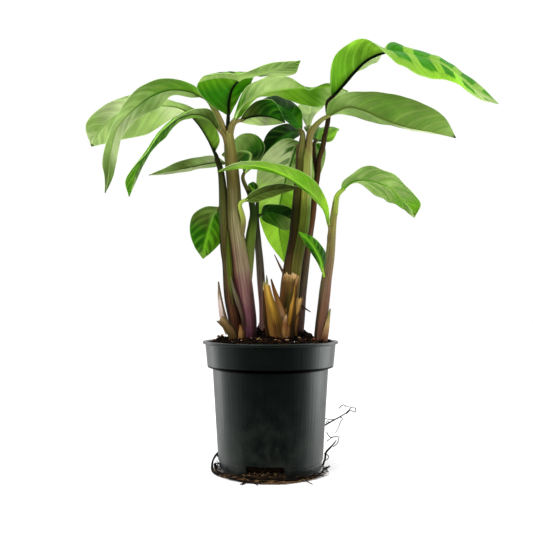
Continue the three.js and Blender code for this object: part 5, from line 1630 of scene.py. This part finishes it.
def pot_piece():
    pot = linked("nursery_pot", turned_mesh("nursery_pot", pot_profile(), POT_SEGMENTS))
    cutters = notch_cutters() + drain_cutters()
    for made in cutters:
        cut = pot.modifiers.new(made.name, "BOOLEAN")
        cut.operation = "DIFFERENCE"
        cut.solver = "EXACT"
        cut.object = made
    graph = bpy.context.evaluated_depsgraph_get()
    final = bpy.data.meshes.new_from_object(pot.evaluated_get(graph))
    weld(final)
    pot.modifiers.clear()
    pot.data = final
    for made in cutters:
        bpy.data.objects.remove(made)
    final.materials.clear()
    final.materials.append(plastic_paint().material)
    final.shade_smooth()
    final.set_sharp_from_angle(angle=math.radians(30))
    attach(pot, "root")
    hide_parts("pot")


# ---------------------------------------------------------------- soil

SOIL_EDGE_HEIGHT = 131.5
SOIL_CROWN = 7
SOIL_RADIUS = 65.6
SOIL_INSET = POT_WALL + 0.5
SOIL_HEAPS = (
    # x, y, height and reach of the heaps pushed up round the stems
    (-54, -4, 9, 9), (-8, 24, 14, 14), (10, -18, 3, 11), (37, 14, 9, 11),
)
SOIL_RINGS = 90
SOIL_RING_POWER = 0.85  # crowds the rings towards the pot's wall
SOIL_SEGMENTS = 220
CHIP_COUNT = 760
CHIP_SPREAD = 63


def soil_height(x, y):
    """The height of the soil at a place, without its crumbs."""
    edge = math.hypot(x, y) / SOIL_RADIUS
    height = SOIL_EDGE_HEIGHT + SOIL_CROWN * (1 - edge**2)
    for heap_x, heap_y, rise, reach in SOIL_HEAPS:
        distance = math.hypot(x - heap_x, y - heap_y) / reach
        height += rise * math.exp(-(distance**2)) * (1 - edge**4)
    return height


def crumb(x, y):
    """The height of the crumbs at a place, fading out at the pot's wall."""
    edge = math.hypot(x, y) / SOIL_RADIUS
    coarse = noise.fractal(Vector((x / 7, y / 7, 0)), 1.0, 2.0, 4)
    fine = noise.noise(Vector((x / 1.6, y / 1.6, 5)))
    return (2.0 * coarse + 0.9 * fine) * (1 - edge**8)


def soil_piece():
    """The soil: its crumbled top in rings, and below it the pot's inner outline."""
    outline = [
        (COLLAR_BOTTOM_RADIUS - SOIL_INSET, COLLAR_BOTTOM + 2.6),
        (BODY_TOP_RADIUS - SOIL_INSET, COLLAR_BOTTOM - 1.2),
        (BODY_BOTTOM_RADIUS - SOIL_INSET, FOOT_HEIGHT + 2.5),
        (FOOT_RADIUS - SOIL_INSET - 1.6, CHANNEL_HEIGHT + POT_WALL + CLEARANCE),
    ]
    points = [[0, 0, soil_height(0, 0)]]
    rings = [(SOIL_RADIUS * (ring / SOIL_RINGS) ** SOIL_RING_POWER, None)
             for ring in range(1, SOIL_RINGS + 1)]
    for radius, fixed in rings + outline:
        for index in range(SOIL_SEGMENTS):
            angle = 2 * math.pi * index / SOIL_SEGMENTS
            x, y = radius * math.cos(angle), radius * math.sin(angle)
            height = fixed if fixed is not None else soil_height(x, y) + crumb(x, y)
            points.append([x, y, height])
    bottom = len(points)
    points.append([0, 0, outline[-1][1]])
    faces = []
    total = SOIL_RINGS + len(outline)
    for index in range(SOIL_SEGMENTS):
        after = (index + 1) % SOIL_SEGMENTS
        faces.append([0, 1 + index, 1 + after])
        for row in range(total - 1):
            a = 1 + row * SOIL_SEGMENTS
            b = a + SOIL_SEGMENTS
            faces.append([a + index, b + index, b + after, a + after])
        last = 1 + (total - 1) * SOIL_SEGMENTS
        faces.append([bottom, last + after, last + index])
    shape = Shape()
    shape.add(np.array(points, float), faces)
    shape.piece("potting_soil", [soil_paint()], ["soil"], crease=180)


def soil_paint():
    """Black peat with paler grains."""
    paint = Paint("potting_soil", {"Roughness": 0.95, "Specular IOR Level": 0.04})
    place = paint.place()
    grain = paint.noise(place, 420.0, 6, 0.7)
    patch = paint.noise(place, 120.0, 4)
    color = paint.ramp(grain, ["#020101", "#060302", "#0e0704", "#22140a", "#4a3220"],
                       [0.25, 0.42, 0.52, 0.64, 0.78])
    color = paint.mix(paint.smooth(patch, 0.5, 0.75), color, "#040202")
    paint.color(color)
    paint.bump(grain, 0.0012)
    return paint


def grained_paint(name, dark, light, scale, depth, roughness, specular):
    """A matt paint of two colours in small grains. depth is that of their relief, in metres."""
    paint = Paint(name, {"Roughness": roughness, "Specular IOR Level": specular})
    grain = paint.noise(paint.place(), scale, 4, 0.6)
    paint.color(paint.mix(paint.smooth(grain, 0.35, 0.65), dark, light))
    paint.bump(grain, depth)
    return paint


CHIP_KINDS = (
    # name, dark, light, and how many in a hundred chips
    ("bark_dark", "#040201", "#140b06", 64),
    ("bark_brown", "#160c06", "#34200f", 20),
    ("bark_red", "#3a1e12", "#7a4a30", 7),
    ("bark_tan", "#6a4c2c", "#b4946c", 6),
    ("perlite", "#c4bfb2", "#f4f1ea", 3),
)
PERLITE = 4
CHIP_GRAIN = (600.0, 0.0004, 0.9, 0.06)  # scale, relief, roughness and specular level


def chip_form(draw, long, wide, thick):
    """The points of one broken chip, as the corners of a convex lump."""
    points = []
    for _ in range(11):
        direction = unit(np.array([draw.gauss(0, 1) for _ in range(3)]))
        points.append(direction * np.array([long, wide, thick]) / 2 * draw.uniform(0.75, 1.1))
    return np.array(points)


def chip_faces(points):
    """The triangles of the convex hull of a few points."""
    form = bmesh.new()
    verts = [form.verts.new(point) for point in points]
    bmesh.ops.convex_hull(form, input=verts)
    form.verts.ensure_lookup_table()
    form.verts.index_update()
    faces = [[vert.index for vert in face.verts] for face in form.faces]
    used = sorted({index for face in faces for index in face})
    order = {index: place for place, index in enumerate(used)}
    corners = np.array([form.verts[index].co for index in used])
    form.free()
    return corners, [[order[index] for index in face] for face in faces]


def turn_matrix(draw):
    """A small tilt about x and y after any turn about z."""
    angles = draw.uniform(-0.6, 0.6), draw.uniform(-0.7, 0.7), draw.uniform(0, 2 * math.pi)
    (cx, cy, cz), (sx, sy, sz) = np.cos(angles), np.sin(angles)
    about_x = np.array([[1, 0, 0], [0, cx, -sx], [0, sx, cx]])
    about_y = np.array([[cy, 0, sy], [0, 1, 0], [-sy, 0, cy]])
    about_z = np.array([[cz, -sz, 0], [sz, cz, 0], [0, 0, 1]])
    return about_z @ about_y @ about_x


def chips_piece():
    draw = random.Random(61)
    kinds = [index for index, kind in enumerate(CHIP_KINDS) for _ in range(kind[3])]
    shape = Shape()
    for _ in range(CHIP_COUNT):
        distance = CHIP_SPREAD * math.sqrt(draw.random())
        angle = draw.uniform(0, 2 * math.pi)
        x, y = distance * math.cos(angle), distance * math.sin(angle)
        kind = draw.choice(kinds)
        if kind == PERLITE:
            long = draw.uniform(1.6, 3.2)
        else:
            long = draw.uniform(2, 9.5) * draw.uniform(0.6, 1)
        wide = long * draw.uniform(0.35, 0.8)
        thick = max(1, wide * draw.uniform(0.4, 0.8))
        corners, faces = chip_faces(chip_form(draw, long, wide, thick))
        lift = draw.uniform(-0.1, 0.55) * thick
        place = np.array([x, y, soil_height(x, y) + crumb(x, y) + lift])
        shape.add(corners @ turn_matrix(draw).T + place, faces, kind)
    paints = [grained_paint(*kind[:3], *CHIP_GRAIN) for kind in CHIP_KINDS]
    shape.piece("bark_chips", paints, crease=20)


# ---------------------------------------------------------------- roots

ROOT_RING = 59.5  # how far from the pot's axis the circling roots lie
ROOT_LIE = 0.9  # how high a root's middle is when it lies on the floor
ROOT_COLORS = (
    ("root_dark", "#060302", "#140c06"),
    ("root_brown", "#140c05", "#30200f"),
    ("root_tan", "#2c1f10", "#6c5438"),
)
ROOT_GRAIN = (260.0, 0.0003, 0.85, 0.1)
CIRCLE_STEP = 9  # degrees between the points of a circling root
FINE_ROOTS = 90
NOTCH_ROOTS = 60
# The bearings between which a root circles the pot's foot, its reach beyond the ring, and its lift
DARK_CIRCLES = ((-116, 128, -3, 0.8), (-96, 70, -1, 3.5), (-62, 92, -0.8, 4.5), (-52, 48, 1.6, 5.5))
TAN_CIRCLES = ((-60, 30, 2, 3), (-30, 64, 1.2, 2.2), (-12, 40, 3, 1.6))


def at_bearing(bearing, radius, height):
    """A place by its bearing in degrees, 0 at the front and 90 at the right."""
    angle = math.radians(bearing)
    return [radius * math.sin(angle), -radius * math.cos(angle), height]


def add_root(shape, path, radii, finish, sides=7, step=1.6):
    add_tube(shape, path, radii, sides, step, ((2, 0.1),), len(path), finish)


def circling_path(draw, start, end, reach, lift, wander=1.4):
    """The way of a root round the pot's foot, from one bearing to another."""
    path = []
    count = max(2, math.ceil(abs(end - start) / CIRCLE_STEP))
    for index in range(count + 1):
        loose = 1 if 0 < index < count else 0
        radius = ROOT_RING + reach + wander * loose * draw.uniform(-0.5, 0.5)
        height = ROOT_LIE + lift * loose * draw.random()
        path.append(at_bearing(start + (end - start) * index / count, radius, height))
    return path


def loose_root_paths():
    """The roots that leave the ring and hang free."""
    return [
        [at_bearing(128, ROOT_RING - 3, ROOT_LIE), [49, 32, 22], [54, 24, 36], [60, 15, 43],
         [68, 13, 48], [75, 12, 52], [82, 11, 57], [86, 10, 62]],
        [at_bearing(98, ROOT_RING - 3, ROOT_LIE), [58, 6, 8], [59, 5, 15], [66, 5, 23], [70, 5, 28]],
        [at_bearing(80, ROOT_RING - 3, ROOT_LIE), [59, -3, ROOT_LIE], [63, 4, ROOT_LIE]],
        [at_bearing(-116, ROOT_RING - 3, ROOT_LIE), [-56, 12, 9], [-57, -2, 14], [-60, -6, 9],
         [-60, -10, 2], [-57, -20, ROOT_LIE], at_bearing(-56, ROOT_RING - 3, ROOT_LIE)],
    ]


# Roots that stand off the pot's left foot before they join the ring.
LEFT_LOOPS = (
    [[-51, 20, 6], [-55, 8, 15], [-59, -1, 12], [-61, -8, 6], [-60, -17, 1.8], [-54, -31, 1.2],
     [-42, -44, 1.4]],
    [[-52, 12, 14], [-57, 2, 13], [-60.5, -4, 8], [-60, -12, 3.5], [-57, -24, 2.4], [-50, -36, 2.6]],
    [[-52, 8, 2], [-56, -4, 6], [-58, -12, 7], [-56, -20, 3], [-51, -32, 3.4], [-44, -42, 1.2]],
)
# Thin side roots, which curl off the loose ones.
ROOT_CURLS = (
    [[86, 10, 62], [89, 10, 62.5], [91.5, 10, 59.5], [89.5, 10, 57], [87.5, 10, 58], [86, 10, 59.5],
     [84, 10, 58], [81, 10, 55]],
    [[73.5, 12, 60.5], [75.5, 12, 63], [79, 12, 64.5], [81.5, 11, 62.5], [83.5, 11, 63.5],
     [85.5, 11, 62.5]],
    [[59, 14, 49.5], [64, 13, 48.5], [68, 13, 49]],
    [[60, 14, 45], [61.5, 13, 47.5], [63, 13, 45]],
    [[75, 12, 51], [77.5, 12, 50], [75.5, 12, 47], [73.5, 12, 42], [71, 12, 36.5], [69, 12, 34]],
    [[60, 9, 36], [62, 9, 32], [65, 9, 30], [68, 9, 31], [75, 9, 30.5]],
    [[60, 9, 26], [62, 9, 27.5], [65.5, 9, 30]],
    [[72, 5, 30.5], [71.5, 5, 26], [69, 5, 23], [66, 5, 21]],
    [[57, 5, 14], [61, 5, 12], [61.5, 5, 9.5], [59, 5, 7], [55.5, 5, 5.5]],
    [[-52, -12, 9], [-51, -13, 5], [-49, -17, 2], [-45, -26, 1.5]],
    [[-57, -8, 6], [-54, -14, 2.5], [-50, -19, 4], [-53, -14, 8], [-56, -9, 10]],
    [[-24, -54, 2.5], [-26, -60, 1], [-29, -65, 0.9]],
    [[-22, -56, 1.5], [-25, -62, 1], [-27, -67, 0.9]],
    [[-15, -57, 1.2], [-14, -63, 0.9], [-12, -67, 0.9]],
    [[33, -51, 1.8], [37, -58, 1], [40, -64, 0.9]],
    [[2, -61, 2], [9, -61.5, 1.5], [17, -60.5, 2.5], [25, -56, 5]],
    [[-4, -57, 4], [-3, -58, 8], [-1, -57.5, 11]],
)


def add_fine_root(shape, draw):
    middle = draw.gauss(0, 32)
    half = draw.uniform(6, 34)
    reach = draw.uniform(-2.8, 2.6)
    lift = draw.uniform(0.5, 5.2)
    radius = draw.uniform(0.2, 0.55)
    path = circling_path(draw, middle - half, middle + half, reach, lift, 4.2)
    path[0][2] += draw.uniform(0, 3)
    path[-1][2] += draw.uniform(0, 3)
    stray = draw.choice((1, 1, 1.04, 1.09))
    path[-1][0] *= stray
    path[-1][1] *= stray
    finish = draw.choice((0, 0, 0, 1, 1, 2))
    add_root(shape, path, [radius * 0.6, radius, radius, radius * 0.4], finish, 6, 1.8)


def add_notch_root(shape, draw):
    """A short root that hangs out through the front notch."""
    bearing = draw.uniform(-27, 15)
    path = []
    for reach in (50, 53, 56, 59):
        top = 11 - (reach - 50) * 0.6
        path.append(at_bearing(bearing + draw.uniform(-6, 6), reach, draw.uniform(1.5, top)))
    path.append(at_bearing(bearing + draw.uniform(-9, 9), 61, draw.uniform(0.6, 3)))
    add_root(shape, path, [0.3, 0.4, 0.3, 0.15], draw.choice((0, 0, 1, 1, 2)), 6)


def roots_piece():
    draw = random.Random(5)
    shape = Shape()
    for start, end, reach, lift in DARK_CIRCLES:
        add_root(shape, circling_path(draw, start, end, reach, lift), [0.7, 0.8, 0.75, 0.6], 0)
    for path in loose_root_paths():
        add_root(shape, path, [1.0, 1.0, 0.92, 0.5], 0)
    for path in LEFT_LOOPS:
        add_root(shape, path, [0.5, 0.85, 0.7, 0.45], 0)
    for path in ROOT_CURLS:
        add_root(shape, path, [0.55, 0.52, 0.4], draw.choice((0, 0, 1)), 6)
    for start, end, reach, lift in TAN_CIRCLES:
        add_root(shape, circling_path(draw, start, end, reach, lift, 3), [0.4, 0.6, 0.6, 0.3], 2)
    for _ in range(FINE_ROOTS):
        add_fine_root(shape, draw)
    for _ in range(NOTCH_ROOTS):
        add_notch_root(shape, draw)
    paints = [grained_paint(*colors, *ROOT_GRAIN) for colors in ROOT_COLORS]
    shape.piece("root_tangle", paints, ["root_mat"], crease=60)


# ---------------------------------------------------------------- the whole

make_camera()
make_studio()
make_floor()
pot_piece()
soil_piece()
chips_piece()
roots_piece()
stem_a_piece()
stem_b_piece()
stem_b_right_piece()
stem_c_piece()
stem_d_piece()
stub_pieces()
make_blades()
